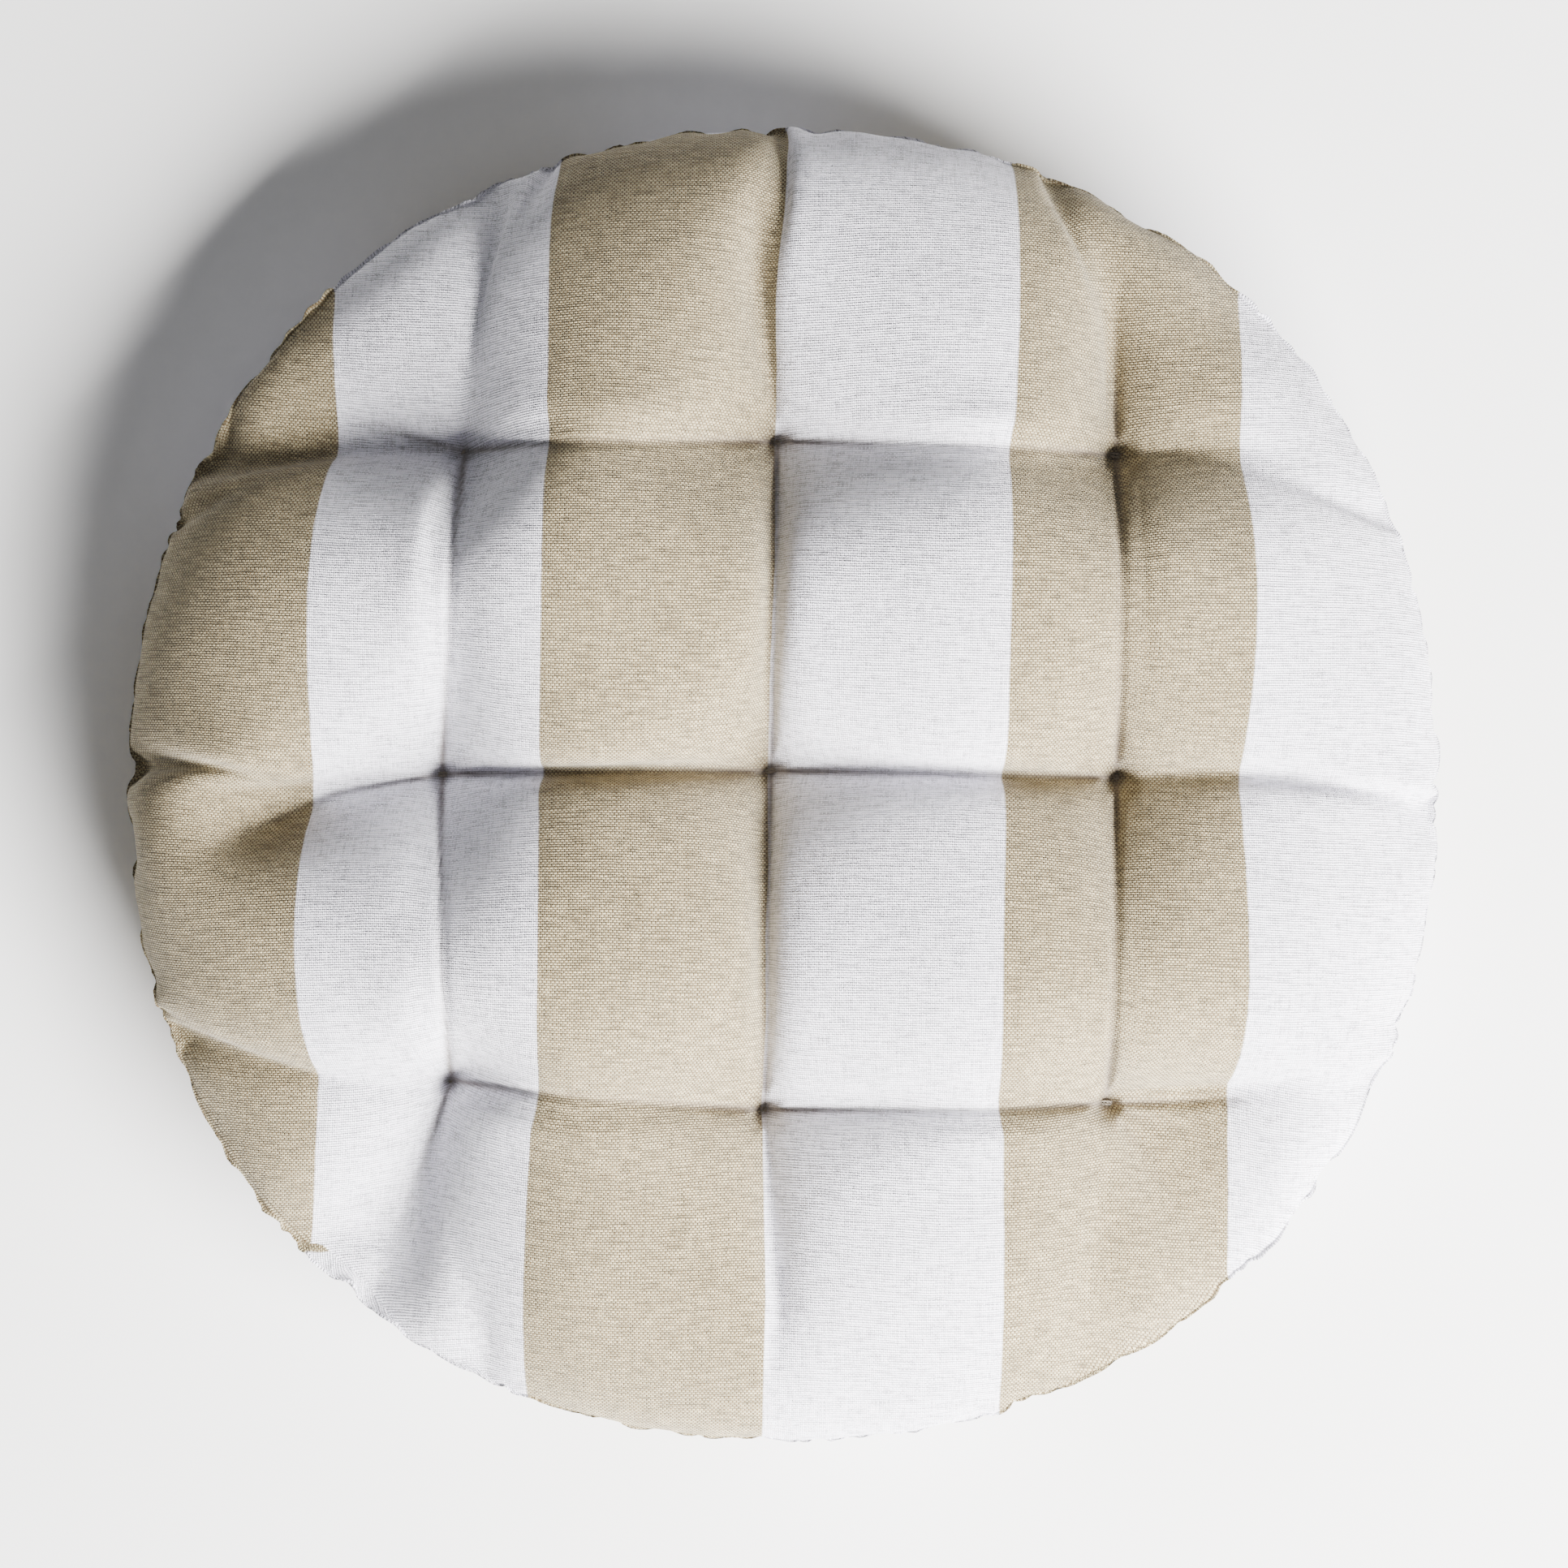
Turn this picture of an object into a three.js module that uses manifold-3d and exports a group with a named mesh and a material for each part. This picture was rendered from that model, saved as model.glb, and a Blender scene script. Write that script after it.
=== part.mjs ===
// A round chair seat pad: two cloth covers sewn together round the edge, a fibre filling between them, and
// nine threads that pull the covers together in three rows of three.
// Millimetres, +Z up. The origin is the middle of the underside, on the plane that the pad rests on.

import * as THREE from "three";
import { mergeVertices } from "three/addons/utils/BufferGeometryUtils.js";
import Module from "manifold-3d";

const wasm = await Module();
wasm.setup();

// The whole pad
const PAD_RADIUS = 200; // to the sewn edge, along X and along Y
const CORNER_FULLNESS = 5; // how much further the edge stands out on the diagonals
const PAD_HEIGHT = 80; // from the rest plane to the tops of the pillows
const SEAM_HEIGHT = 38; // from the rest plane to the sewn edge
const CLEARANCE = 0.3; // between pieces that touch

// The two covers, one swollen up from the seam and one down
const CLOTH_THICKNESS = 0.9;
const SEAM_ALLOWANCE = 10; // the cloth turned in past the seam
const EDGE_POWER = 4; // how far out the pad keeps its height
const EDGE_ROUNDING = 0.6; // how steeply the height falls to the seam
const UPPER = { side: 1, crown: PAD_HEIGHT - SEAM_HEIGHT, fullness: 1.04, valley: 0.27 };
const LOWER = { side: -1, crown: SEAM_HEIGHT, fullness: 1.35, valley: 0.38 };
const VALLEY_WIDTH = 20; // half the width of the folds that join the tufts
const DIMPLE_RADIUS = 40; // how far from a tuft its dimple reaches

// The tufts: a square grid with the small errors of hand work
const TUFT_PITCH = 100; // between tuft rows and between tuft columns
const TUFT_LAND = 3.5; // half the side of the small flat under a stitch
const TUFT_LEVEL = 6; // the covers' height above and below the seam plane there
const TUFTS = [
  { place: "back_left", column: -1, row: 1, x: -97, y: 101, turn: 45 },
  { place: "back_middle", column: 0, row: 1, x: -2, y: 104, turn: 0 },
  { place: "back_right", column: 1, row: 1, x: 101, y: 100, turn: -10 },
  { place: "middle_left", column: -1, row: 0, x: -104, y: 3, turn: 0 },
  { place: "centre", column: 0, row: 0, x: -4, y: 4, turn: 12 },
  { place: "middle_right", column: 1, row: 0, x: 101, y: 2, turn: 0 },
  { place: "front_left", column: -1, row: -1, x: -101, y: -90, turn: 8 },
  { place: "front_middle", column: 0, row: -1, x: -6, y: -99, turn: 80 },
  { place: "front_right", column: 1, row: -1, x: 98, y: -97, turn: -5 },
];

// The filling, inside both covers and their turned-in allowances
const FILLING_CLEARANCE = 0.6;
const FILLING_EDGE_HALF_HEIGHT = 5;
const CHANNEL_RADIUS = 3; // the needle's way through the filling

// The threads
const TUFT_THREAD_RADIUS = 0.5;
const TUFT_STITCH = 4; // between the two holes of a tuft
const KNOT_RADIUS = 1.6;
const THREAD_SIDES = 6;
const SEAM_THREAD_WIDTH = 1;
const SEAM_THREAD_HEIGHT = 0.4;
const SEAM_THREAD_INSET = 1.5; // from the edge to the seam thread's outside
const CLOSING_FROM = THREE.MathUtils.degToRad(251); // the stretch sewn shut after filling
const CLOSING_TO = THREE.MathUtils.degToRad(294);
const CLOSING_END_GAP = THREE.MathUtils.degToRad(0.5);

const HALF_SEAM_GAP = SEAM_THREAD_HEIGHT / 2 + CLEARANCE;

// How finely the soft surfaces are cut
const BAY_CELLS = 5; // cells between two tuft lines, and from the last one to the edge
const RING_STEPS_PER_DEGREE = 0.25;

// ---- the pad's shape ----

function edgeRadius(angle) {
  return PAD_RADIUS + (CORNER_FULLNESS * (1 - Math.cos(4 * angle))) / 2;
}

// The lines of a square net, in millimetres from the middle, with one narrow cell at each tuft line.
function netLines() {
  const first = -PAD_RADIUS;
  const lines = [first];
  let from = first;
  for (const tuftLine of [-TUFT_PITCH, 0, TUFT_PITCH]) {
    addBay(lines, from, tuftLine - TUFT_LAND);
    from = tuftLine + TUFT_LAND;
    lines.push(from);
  }
  addBay(lines, from, PAD_RADIUS);
  return lines;
}

function addBay(lines, from, to) {
  for (let i = 1; i <= BAY_CELLS; i++) {
    lines.push(from + ((to - from) * i) / BAY_CELLS);
  }
}

// The square net drawn into a disc, so that its four sides share the round edge.
function netToDisc(s, t) {
  const a = s / PAD_RADIUS;
  const b = t / PAD_RADIUS;
  const x = s * Math.sqrt(1 - (b * b) / 2);
  const y = t * Math.sqrt(1 - (a * a) / 2);
  const stretch = edgeRadius(Math.atan2(y, x)) / PAD_RADIUS;
  return new THREE.Vector2(x * stretch, y * stretch);
}

function tent(distance) {
  return Math.max(0, 1 - Math.abs(distance) / TUFT_PITCH);
}

// The same, with the net's tuft crossings pulled onto the real tufts.
function planPoint(s, t) {
  const point = netToDisc(s, t);
  for (const tuft of TUFTS) {
    const column = tuft.column * TUFT_PITCH;
    const row = tuft.row * TUFT_PITCH;
    const share = tent(s - column) * tent(t - row);
    const crossing = netToDisc(column, row);
    point.x += (tuft.x - crossing.x) * share;
    point.y += (tuft.y - crossing.y) * share;
  }
  return point;
}

// How much of a fold there is at this distance from the nearest tuft line: 1 on the line, 0 well away.
function foldAt(s) {
  const nearest = THREE.MathUtils.clamp(Math.round(s / TUFT_PITCH), -1, 1) * TUFT_PITCH;
  return Math.exp(-(((s - nearest) / VALLEY_WIDTH) ** 2));
}

// One cover's distance from the seam plane, from its crown's height, the folds and the dimples.
function coverRise(cover, s, t, point) {
  const reach = Math.min(1, point.length() / edgeRadius(point.angle()));
  const dome = (1 - reach ** EDGE_POWER) ** EDGE_ROUNDING;
  const fold = cover.valley * Math.max(foldAt(s), foldAt(t));
  const pillow = Math.min(cover.crown, cover.crown * cover.fullness * dome * (1 - fold));
  const nearest = Math.min(...TUFTS.map((tuft) => Math.hypot(point.x - tuft.x, point.y - tuft.y)));
  const away = THREE.MathUtils.smoothstep(nearest, TUFT_LAND * 2, DIMPLE_RADIUS);
  return THREE.MathUtils.lerp(TUFT_LEVEL, pillow, away);
}

// ---- the skins: one net of points each ----

const LINES = netLines();
const COUNT = LINES.length;

function isOnEdge(i, j) {
  return i === 0 || j === 0 || i === COUNT - 1 || j === COUNT - 1;
}

// The net's edge points in order round the pad, counter-clockwise from its front left corner.
function edgeOrder() {
  const last = COUNT - 1;
  const order = [];
  for (let i = 0; i < last; i++) order.push([i, 0]);
  for (let j = 0; j < last; j++) order.push([last, j]);
  for (let i = last; i > 0; i--) order.push([i, last]);
  for (let j = last; j > 0; j--) order.push([0, j]);
  return order;
}

const EDGE = edgeOrder();

function edgePoint(i, j, inset, height) {
  const point = planPoint(LINES[i], LINES[j]);
  point.setLength(point.length() - inset);
  return new THREE.Vector3(point.x, point.y, height);
}

// A net's two triangles in each cell, seen from above, its corner cells cut towards the pad's middle.
function netTriangles() {
  const triangles = [];
  for (let i = 0; i < COUNT - 1; i++) {
    for (let j = 0; j < COUNT - 1; j++) {
      const a = i * COUNT + j;
      const b = a + COUNT;
      const c = b + 1;
      const d = a + 1;
      const towardsMiddle = (LINES[i] + LINES[i + 1]) * (LINES[j] + LINES[j + 1]) >= 0;
      if (towardsMiddle) triangles.push([a, b, c], [a, c, d]);
      else triangles.push([a, b, d], [b, c, d]);
    }
  }
  return triangles;
}

const NET_TRIANGLES = netTriangles();

// The outside of a cover, with its own vertex normals.
function outerSkin(cover) {
  const points = [];
  for (const s of LINES) {
    for (const t of LINES) {
      const plan = planPoint(s, t);
      const rise = coverRise(cover, s, t, plan);
      points.push(new THREE.Vector3(plan.x, plan.y, SEAM_HEIGHT + cover.side * rise));
    }
  }
  const geometry = new THREE.BufferGeometry().setFromPoints(points);
  geometry.setIndex(NET_TRIANGLES.flat());
  geometry.computeVertexNormals();
  const normal = geometry.getAttribute("normal");
  const normals = points.map((_, n) => new THREE.Vector3().fromBufferAttribute(normal, n));
  return { points, normals: normals.map((n) => n.multiplyScalar(cover.side)) };
}

// A skin drawn in from the outside by some depth, with its edge points set apart.
function innerSkin(cover, skin, depth, inset, rise) {
  return skin.points.map((point, n) => {
    const i = Math.floor(n / COUNT);
    const j = n % COUNT;
    if (isOnEdge(i, j)) return edgePoint(i, j, inset, SEAM_HEIGHT + cover.side * rise);
    return point.clone().addScaledVector(skin.normals[n], -depth);
  });
}

function edgeRing(cover, inset, rise) {
  return EDGE.map(([i, j]) => edgePoint(i, j, inset, SEAM_HEIGHT + cover.side * rise));
}

// ---- closed solids from skins and rings ----

class Shell {
  constructor() {
    this.points = [];
    this.triangles = [];
  }

  add(points) {
    const first = this.points.length;
    this.points.push(...points);
    return first;
  }

  // A net, facing up or down. It returns its edge points' numbers, in order round the pad.
  addNet(points, up) {
    const first = this.add(points);
    for (const [a, b, c] of NET_TRIANGLES) {
      this.triangles.push(up ? [first + a, first + b, first + c] : [first + a, first + c, first + b]);
    }
    return EDGE.map(([i, j]) => first + i * COUNT + j);
  }

  addRing(points) {
    const first = this.add(points);
    return points.map((_, n) => first + n);
  }

  // The band between two rings. It faces out where the first ring is the upper one.
  addBand(upper, lower) {
    for (let n = 0; n < upper.length; n++) {
      const m = (n + 1) % upper.length;
      this.triangles.push([upper[n], lower[n], lower[m]], [upper[n], lower[m], upper[m]]);
    }
  }

  geometry() {
    const geometry = new THREE.BufferGeometry().setFromPoints(this.points);
    geometry.setIndex(this.triangles.flat());
    return geometry;
  }
}

// ---- cutting and joining ----

function toSolid(geometry) {
  const bare = geometry.clone();
  bare.deleteAttribute("normal");
  bare.deleteAttribute("uv");
  const merged = mergeVertices(bare, 1e-4);
  const mesh = new wasm.Mesh({
    numProp: 3,
    vertProperties: new Float32Array(merged.getAttribute("position").array),
    triVerts: new Uint32Array(merged.getIndex().array),
  });
  return new wasm.Manifold(mesh);
}

function toGeometry(solid) {
  const mesh = solid.getMesh();
  const geometry = new THREE.BufferGeometry();
  geometry.setAttribute("position", new THREE.BufferAttribute(mesh.vertProperties, 3));
  geometry.setIndex(new THREE.BufferAttribute(mesh.triVerts, 1));
  return geometry;
}

// A thread-like bar between two points.
function bar(from, to, radius) {
  const length = from.distanceTo(to);
  const geometry = new THREE.CylinderGeometry(radius, radius, length, THREAD_SIDES);
  const along = new THREE.Vector3().subVectors(to, from).normalize();
  geometry.applyQuaternion(new THREE.Quaternion().setFromUnitVectors(THREE.Object3D.DEFAULT_UP, along));
  geometry.translate(...new THREE.Vector3().addVectors(from, to).multiplyScalar(0.5).toArray());
  return toSolid(geometry);
}

function stitchEnds(tuft) {
  const turn = THREE.MathUtils.degToRad(tuft.turn);
  const half = new THREE.Vector2(Math.cos(turn), Math.sin(turn)).multiplyScalar(TUFT_STITCH / 2);
  return [-1, 1].map((end) => new THREE.Vector2(tuft.x + end * half.x, tuft.y + end * half.y));
}

function atHeight(plan, height) {
  return new THREE.Vector3(plan.x, plan.y, height);
}

// ---- the pieces ----

const clothMaterial = new THREE.MeshStandardMaterial({ color: 0xd6cdbf, roughness: 0.95, metalness: 0 });
const fibreMaterial = new THREE.MeshStandardMaterial({ color: 0xf4f3ef, roughness: 1, metalness: 0 });
const threadMaterial = new THREE.MeshStandardMaterial({ color: 0xc9bda8, roughness: 0.8, metalness: 0 });

const pad = new THREE.Group();

function addPiece(name, geometry, material) {
  const mesh = new THREE.Mesh(geometry, material);
  mesh.name = name;
  pad.add(mesh);
}

// A cover: its outer skin, the allowance turned in along the seam plane, and its inner skin, with two
// needle holes at each tuft.
function coverGeometry(cover) {
  const skin = outerSkin(cover);
  const foldRise = HALF_SEAM_GAP + CLOTH_THICKNESS;
  const outside = skin.points.map((point, n) => {
    const i = Math.floor(n / COUNT);
    const j = n % COUNT;
    return isOnEdge(i, j) ? edgePoint(i, j, 0, SEAM_HEIGHT + cover.side * foldRise) : point;
  });
  const inside = innerSkin(cover, skin, CLOTH_THICKNESS, 3 * CLOTH_THICKNESS, foldRise);
  const shell = new Shell();
  const up = cover.side > 0;
  const rings = [
    shell.addNet(outside, up),
    shell.addRing(edgeRing(cover, CLOTH_THICKNESS / 2, HALF_SEAM_GAP)),
    shell.addRing(edgeRing(cover, SEAM_ALLOWANCE, HALF_SEAM_GAP)),
    shell.addRing(edgeRing(cover, SEAM_ALLOWANCE, foldRise)),
    shell.addNet(inside, !up),
  ];
  for (let n = 0; n + 1 < rings.length; n++) {
    if (up) shell.addBand(rings[n], rings[n + 1]);
    else shell.addBand(rings[n + 1], rings[n]);
  }
  let solid = toSolid(shell.geometry());
  for (const tuft of TUFTS) {
    for (const end of stitchEnds(tuft)) {
      const below = atHeight(end, SEAM_HEIGHT);
      const above = atHeight(end, SEAM_HEIGHT + cover.side * (TUFT_LEVEL + CLOTH_THICKNESS));
      solid = solid.subtract(bar(below, above, TUFT_THREAD_RADIUS + CLEARANCE));
    }
  }
  return toGeometry(solid);
}

addPiece("top_cover", coverGeometry(UPPER), clothMaterial);
addPiece("bottom_cover", coverGeometry(LOWER), clothMaterial);

// The filling: both covers' shapes drawn in, a small upright edge, and a channel at each tuft.
function fillingGeometry() {
  const depth = CLOTH_THICKNESS + FILLING_CLEARANCE;
  const inset = SEAM_ALLOWANCE + CLEARANCE;
  const shell = new Shell();
  const [upperEdge, lowerEdge] = [UPPER, LOWER].map((cover) => {
    const skin = innerSkin(cover, outerSkin(cover), depth, inset, FILLING_EDGE_HALF_HEIGHT);
    return shell.addNet(skin, cover.side > 0);
  });
  shell.addBand(upperEdge, lowerEdge);
  let solid = toSolid(shell.geometry());
  for (const tuft of TUFTS) {
    const plan = new THREE.Vector2(tuft.x, tuft.y);
    const below = atHeight(plan, SEAM_HEIGHT - TUFT_LEVEL);
    const above = atHeight(plan, SEAM_HEIGHT + TUFT_LEVEL);
    solid = solid.subtract(bar(below, above, CHANNEL_RADIUS));
  }
  return toGeometry(solid);
}

addPiece("fibre_filling", fillingGeometry(), fibreMaterial);

// A seam thread between the two allowances, along a stretch of the edge.
function seamThreadGeometry(from, to) {
  const steps = Math.ceil(THREE.MathUtils.radToDeg(to - from) * RING_STEPS_PER_DEGREE);
  const angles = Array.from({ length: steps + 1 }, (_, n) => from + ((to - from) * n) / steps);
  const arc = (inset) => angles.map((angle) => {
    const radius = edgeRadius(angle) - inset;
    return new THREE.Vector2(radius * Math.cos(angle), radius * Math.sin(angle));
  });
  const outline = arc(SEAM_THREAD_INSET).concat(arc(SEAM_THREAD_INSET + SEAM_THREAD_WIDTH).reverse());
  const section = { depth: SEAM_THREAD_HEIGHT, bevelEnabled: false };
  const geometry = new THREE.ExtrudeGeometry(new THREE.Shape(outline), section);
  geometry.translate(0, 0, SEAM_HEIGHT - SEAM_THREAD_HEIGHT / 2);
  return geometry;
}

addPiece("closing_seam_thread", seamThreadGeometry(CLOSING_FROM, CLOSING_TO), threadMaterial);
const ringFrom = CLOSING_TO + CLOSING_END_GAP;
const ringTo = CLOSING_FROM + 2 * Math.PI - CLOSING_END_GAP;
addPiece("edge_seam_thread", seamThreadGeometry(ringFrom, ringTo), threadMaterial);

// A tuft's thread: down through the pad, across underneath, back up and across on top, with its knot below.
function tuftThreadGeometry(tuft) {
  const level = TUFT_LEVEL + CLEARANCE + TUFT_THREAD_RADIUS;
  const [top, bottom] = [SEAM_HEIGHT + level, SEAM_HEIGHT - level];
  const [left, right] = stitchEnds(tuft);
  const parts = [
    bar(atHeight(left, top), atHeight(right, top), TUFT_THREAD_RADIUS),
    bar(atHeight(left, bottom), atHeight(right, bottom), TUFT_THREAD_RADIUS),
    bar(atHeight(left, bottom), atHeight(left, top), TUFT_THREAD_RADIUS),
    bar(atHeight(right, bottom), atHeight(right, top), TUFT_THREAD_RADIUS),
  ];
  const knot = new THREE.SphereGeometry(KNOT_RADIUS, 8, 6);
  knot.translate(tuft.x, tuft.y, SEAM_HEIGHT - TUFT_LEVEL - CLEARANCE - KNOT_RADIUS);
  parts.push(toSolid(knot));
  return toGeometry(parts.reduce((joined, part) => joined.add(part)));
}

for (const tuft of TUFTS) {
  addPiece(`tuft_thread_${tuft.place}`, tuftThreadGeometry(tuft), threadMaterial);
}

export default pad;
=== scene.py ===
import math

import bpy
import numpy as np
from bpy.props import FloatProperty, FloatVectorProperty, IntProperty, PointerProperty
from mathutils import Matrix, Vector


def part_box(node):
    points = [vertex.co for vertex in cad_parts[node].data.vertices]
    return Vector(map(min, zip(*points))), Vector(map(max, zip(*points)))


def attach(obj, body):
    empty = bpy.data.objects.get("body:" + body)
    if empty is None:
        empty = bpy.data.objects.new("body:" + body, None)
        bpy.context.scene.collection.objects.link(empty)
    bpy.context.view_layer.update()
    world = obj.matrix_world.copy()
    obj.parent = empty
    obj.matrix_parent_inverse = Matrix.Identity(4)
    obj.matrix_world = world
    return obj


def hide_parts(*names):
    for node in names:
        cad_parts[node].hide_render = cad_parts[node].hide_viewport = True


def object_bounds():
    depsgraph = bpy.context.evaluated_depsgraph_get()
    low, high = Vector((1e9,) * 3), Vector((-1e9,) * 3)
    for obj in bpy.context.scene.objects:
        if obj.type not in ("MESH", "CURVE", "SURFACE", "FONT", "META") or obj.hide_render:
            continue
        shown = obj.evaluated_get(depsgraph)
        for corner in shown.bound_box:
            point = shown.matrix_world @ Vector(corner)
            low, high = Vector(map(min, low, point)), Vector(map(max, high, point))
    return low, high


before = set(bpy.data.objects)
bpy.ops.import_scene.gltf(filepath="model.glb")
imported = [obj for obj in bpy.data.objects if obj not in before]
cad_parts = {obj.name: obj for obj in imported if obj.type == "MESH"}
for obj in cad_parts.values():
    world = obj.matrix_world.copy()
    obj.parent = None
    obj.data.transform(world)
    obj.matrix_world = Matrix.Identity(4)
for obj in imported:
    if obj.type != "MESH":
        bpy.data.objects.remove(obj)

bl_info = {
    "name": "Tufted seat pad",
    "version": (1, 0, 0),
    "blender": (4, 5, 0),
    "location": "View3D > Sidebar > Seat pad",
    "description": "Sews, fills and tufts a round striped chair pad, piece by piece",
    "category": "Object",
}

CAD_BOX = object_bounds()

# ---- places and sizes that the frame gives ----

MM = 0.001
TUFT_TURNS = {
    "back_left": 45, "back_middle": 0, "back_right": -10,
    "middle_left": 0, "centre": 12, "middle_right": 0,
    "front_left": 8, "front_middle": 80, "front_right": -5,
}
COLUMNS = {"left": -1, "middle": 0, "right": 1}
ROWS = {"back": 1, "middle": 0, "front": -1}


def box_middle(node):
    """The middle of a node's box."""
    low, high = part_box(node)
    return (np.array(low) + np.array(high)) / 2


def tuft_cell(place):
    """The column and the row of a tuft, each -1, 0 or 1."""
    if place == "centre":
        return 0, 0
    row, column = place.split("_")
    return COLUMNS[column], ROWS[row]


TUFTS = {place: box_middle("tuft_thread_" + place)[:2] for place in TUFT_TURNS}
SEAM_Z = float(box_middle("edge_seam_thread")[2])
PAD_RADIUS = (CAD_BOX[1][0] - CAD_BOX[0][0]) / 2
PAD_TOP = CAD_BOX[1][2]
UPPER_SHIFT = 0.001  # how far the upper panel's stripes are out of line
EDGE_FULLNESS = 0.005  # how far the edge stands out between the sides
CLOSING_LOW, CLOSING_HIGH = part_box("closing_seam_thread")

# ---- the sizes and colours that a user would change ----


def length(name, description, default):
    """A setting in metres."""
    return FloatProperty(name=name, description=description, default=default, unit="LENGTH", precision=5)


def share(name, description, default):
    """A setting without a unit."""
    return FloatProperty(name=name, description=description, default=default, min=0.0, max=10.0)


def colour(name, description, default):
    """A colour setting, linear red, green and blue."""
    return FloatVectorProperty(name=name, description=description, default=default, subtype="COLOR",
                               size=3, min=0.0, max=1.0)


class PatternSettings(bpy.types.PropertyGroup):
    """The flat panels before they are sewn and filled"""
    panel_radius: length("Panel radius", "From a flat panel's middle to its seam line", 0.2215)
    tuft_spacing: length("Tuft spacing", "Between tufts on the flat panel", 0.1138)
    stripe: length("Stripe", "Width of one stripe on the flat panel", 0.0755)
    allowance: length("Seam allowance", "Cloth turned in past the seam line", 0.009)
    cloth: length("Cloth", "Thickness of one layer of cloth", 0.0006)
    lower_shift: length("Lower shift", "How far the lower panel's stripes are out of line", 0.030)
    lower_turn: FloatProperty(name="Lower turn", description="How far the lower panel is turned",
                              default=math.radians(-8), subtype="ANGLE")


class FillSettings(bpy.types.PropertyGroup):
    """How the filled pad takes its shape"""
    bay_cells: IntProperty(name="Bay cells", description="Cells between two tuft lines, at the finest",
                           default=52, min=13)
    pressure: length("Pressure", "How far the filling pushes the cloth in one step", 1.45e-5)
    hollow: length("Hollow level", "A cover's height above the seam plane round a tuft", 0.017)
    stitch: length("Stitch level", "Its height at the stitch itself, down a narrow funnel", 0.009)
    funnel: length("Funnel", "Half the width of that funnel", 0.0042)
    cleft: length("Cleft", "Depth of the narrow cleft along a fold", 0.0034)
    cleft_width: length("Cleft width", "Half the width of that cleft", 0.0013)
    crease: share("Crease", "How much the cloth is drawn into the folds, over the filling's push", 1.2)
    crease_width: length("Crease width", "Half the width that a fold draws on", 0.0035)
    pinch: share("Pinch", "The same, once the finest threads are reckoned", 12)
    pinch_width: length("Pinch width", "Half the width that a fold then draws on", 0.0015)
    slack: share("Slack", "The share of its length that the weave keeps when it is crowded", 0.95)
    gather: share("Gather", "The share of its length that the edge keeps once it is sewn", 0.92)
    stiffness: share("Stiffness", "How much the cloth resists bending", 0.13)
    edge_hold: share("Edge hold", "How firmly the sewn edge keeps to its round outline", 0.25)
    ripple: length("Ripple", "Half the depth of the gathers along the edge", 0.0010)
    scallop: length("Scallop", "Depth of the puckers between the gathers", 0.0024)
    notch: length("Notch", "How far the edge is drawn in at the end of a fold", 0.0045)
    front_roll: length("Front roll", "How far the seam is rolled up along the front", 0.009)


class FinishSettings(bpy.types.PropertyGroup):
    """Yarns and colours"""
    warp_pitch: length("Warp pitch", "Between two threads that run along the stripes", 0.00065)
    weft_pitch: length("Weft pitch", "Between two threads that run across the stripes", 0.00076)
    beige: colour("Beige", "The dyed warp of a beige stripe", (0.174, 0.120, 0.058))
    cream: colour("Cream", "The weft where it crosses a beige stripe", (0.475, 0.405, 0.251))
    white: colour("White", "Both threads of a white stripe", (0.92, 0.905, 0.99))
    # Painted shade: this dark colour is laid into the folds' clefts and round the stitch holes, where shade
    # falls.
    crowded: colour("Folds", "The cloth where it is crowded in a fold", (0.17, 0.135, 0.11))
    thread: colour("Thread", "The sewing and tufting thread", (0.30, 0.26, 0.21))
    fibre: colour("Fibre", "The filling", (0.90, 0.90, 0.88))
    floor: colour("Floor", "The floor under the pad", (0.96, 0.96, 0.96))


class StageSettings(bpy.types.PropertyGroup):
    """The camera and the lights"""
    view_width: length("View width", "Width of the view at the pad", 0.480)
    lens: FloatProperty(name="Lens", description="Focal length in millimetres", default=130.0)
    key_power: FloatProperty(name="Key", description="Power of the light in front", default=402.0,
                             subtype="POWER")
    fill_power: FloatProperty(name="Fill", description="Power of the light overhead", default=4.0,
                              subtype="POWER")
    sky: FloatProperty(name="Sky", description="Strength of the even light all round", default=0.115)


def pattern():
    """The flat panels' sizes."""
    return bpy.context.scene.pad_pattern


def filling():
    """How the pad is filled and drawn in."""
    return bpy.context.scene.pad_fill


def finish_settings():
    """The yarns and colours."""
    return bpy.context.scene.pad_finish


def stage_settings():
    """The camera and the lights."""
    return bpy.context.scene.pad_stage


# ---- the two panels as nets ----
# A net is a square grid of points drawn into a disc. Its lines crowd together at the tufts and at the edge,
# where the folds and the gathers are. Both panels' nets are the same, and share the points on their edge.

CROWDING = 0.65  # how much closer the lines are at the tuft lines than on average


def bay_lines(start, end, cells):
    """A bay's lines after its first, crowded towards both its ends."""
    step = np.arange(1, cells + 1) / cells
    step = step - CROWDING * np.sin(2 * math.pi * step) / (2 * math.pi)
    return start + (end - start) * step


def net_lines(cells):
    """All the lines one way across the net."""
    radius, spacing = pattern().panel_radius, pattern().tuft_spacing
    stops = (-radius, -spacing, 0.0, spacing, radius)
    bays = [bay_lines(a, b, cells) for a, b in zip(stops, stops[1:])]
    return np.concatenate([[-radius], *bays])


def hat(values, cell):
    """1 on a tuft line, falling straight to 0 at the next line on either side."""
    radius, spacing = pattern().panel_radius, pattern().tuft_spacing
    heights = [0.0] * 5
    heights[cell + 2] = 1.0
    return np.interp(values, (-radius, -spacing, 0.0, spacing, radius), heights)


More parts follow.
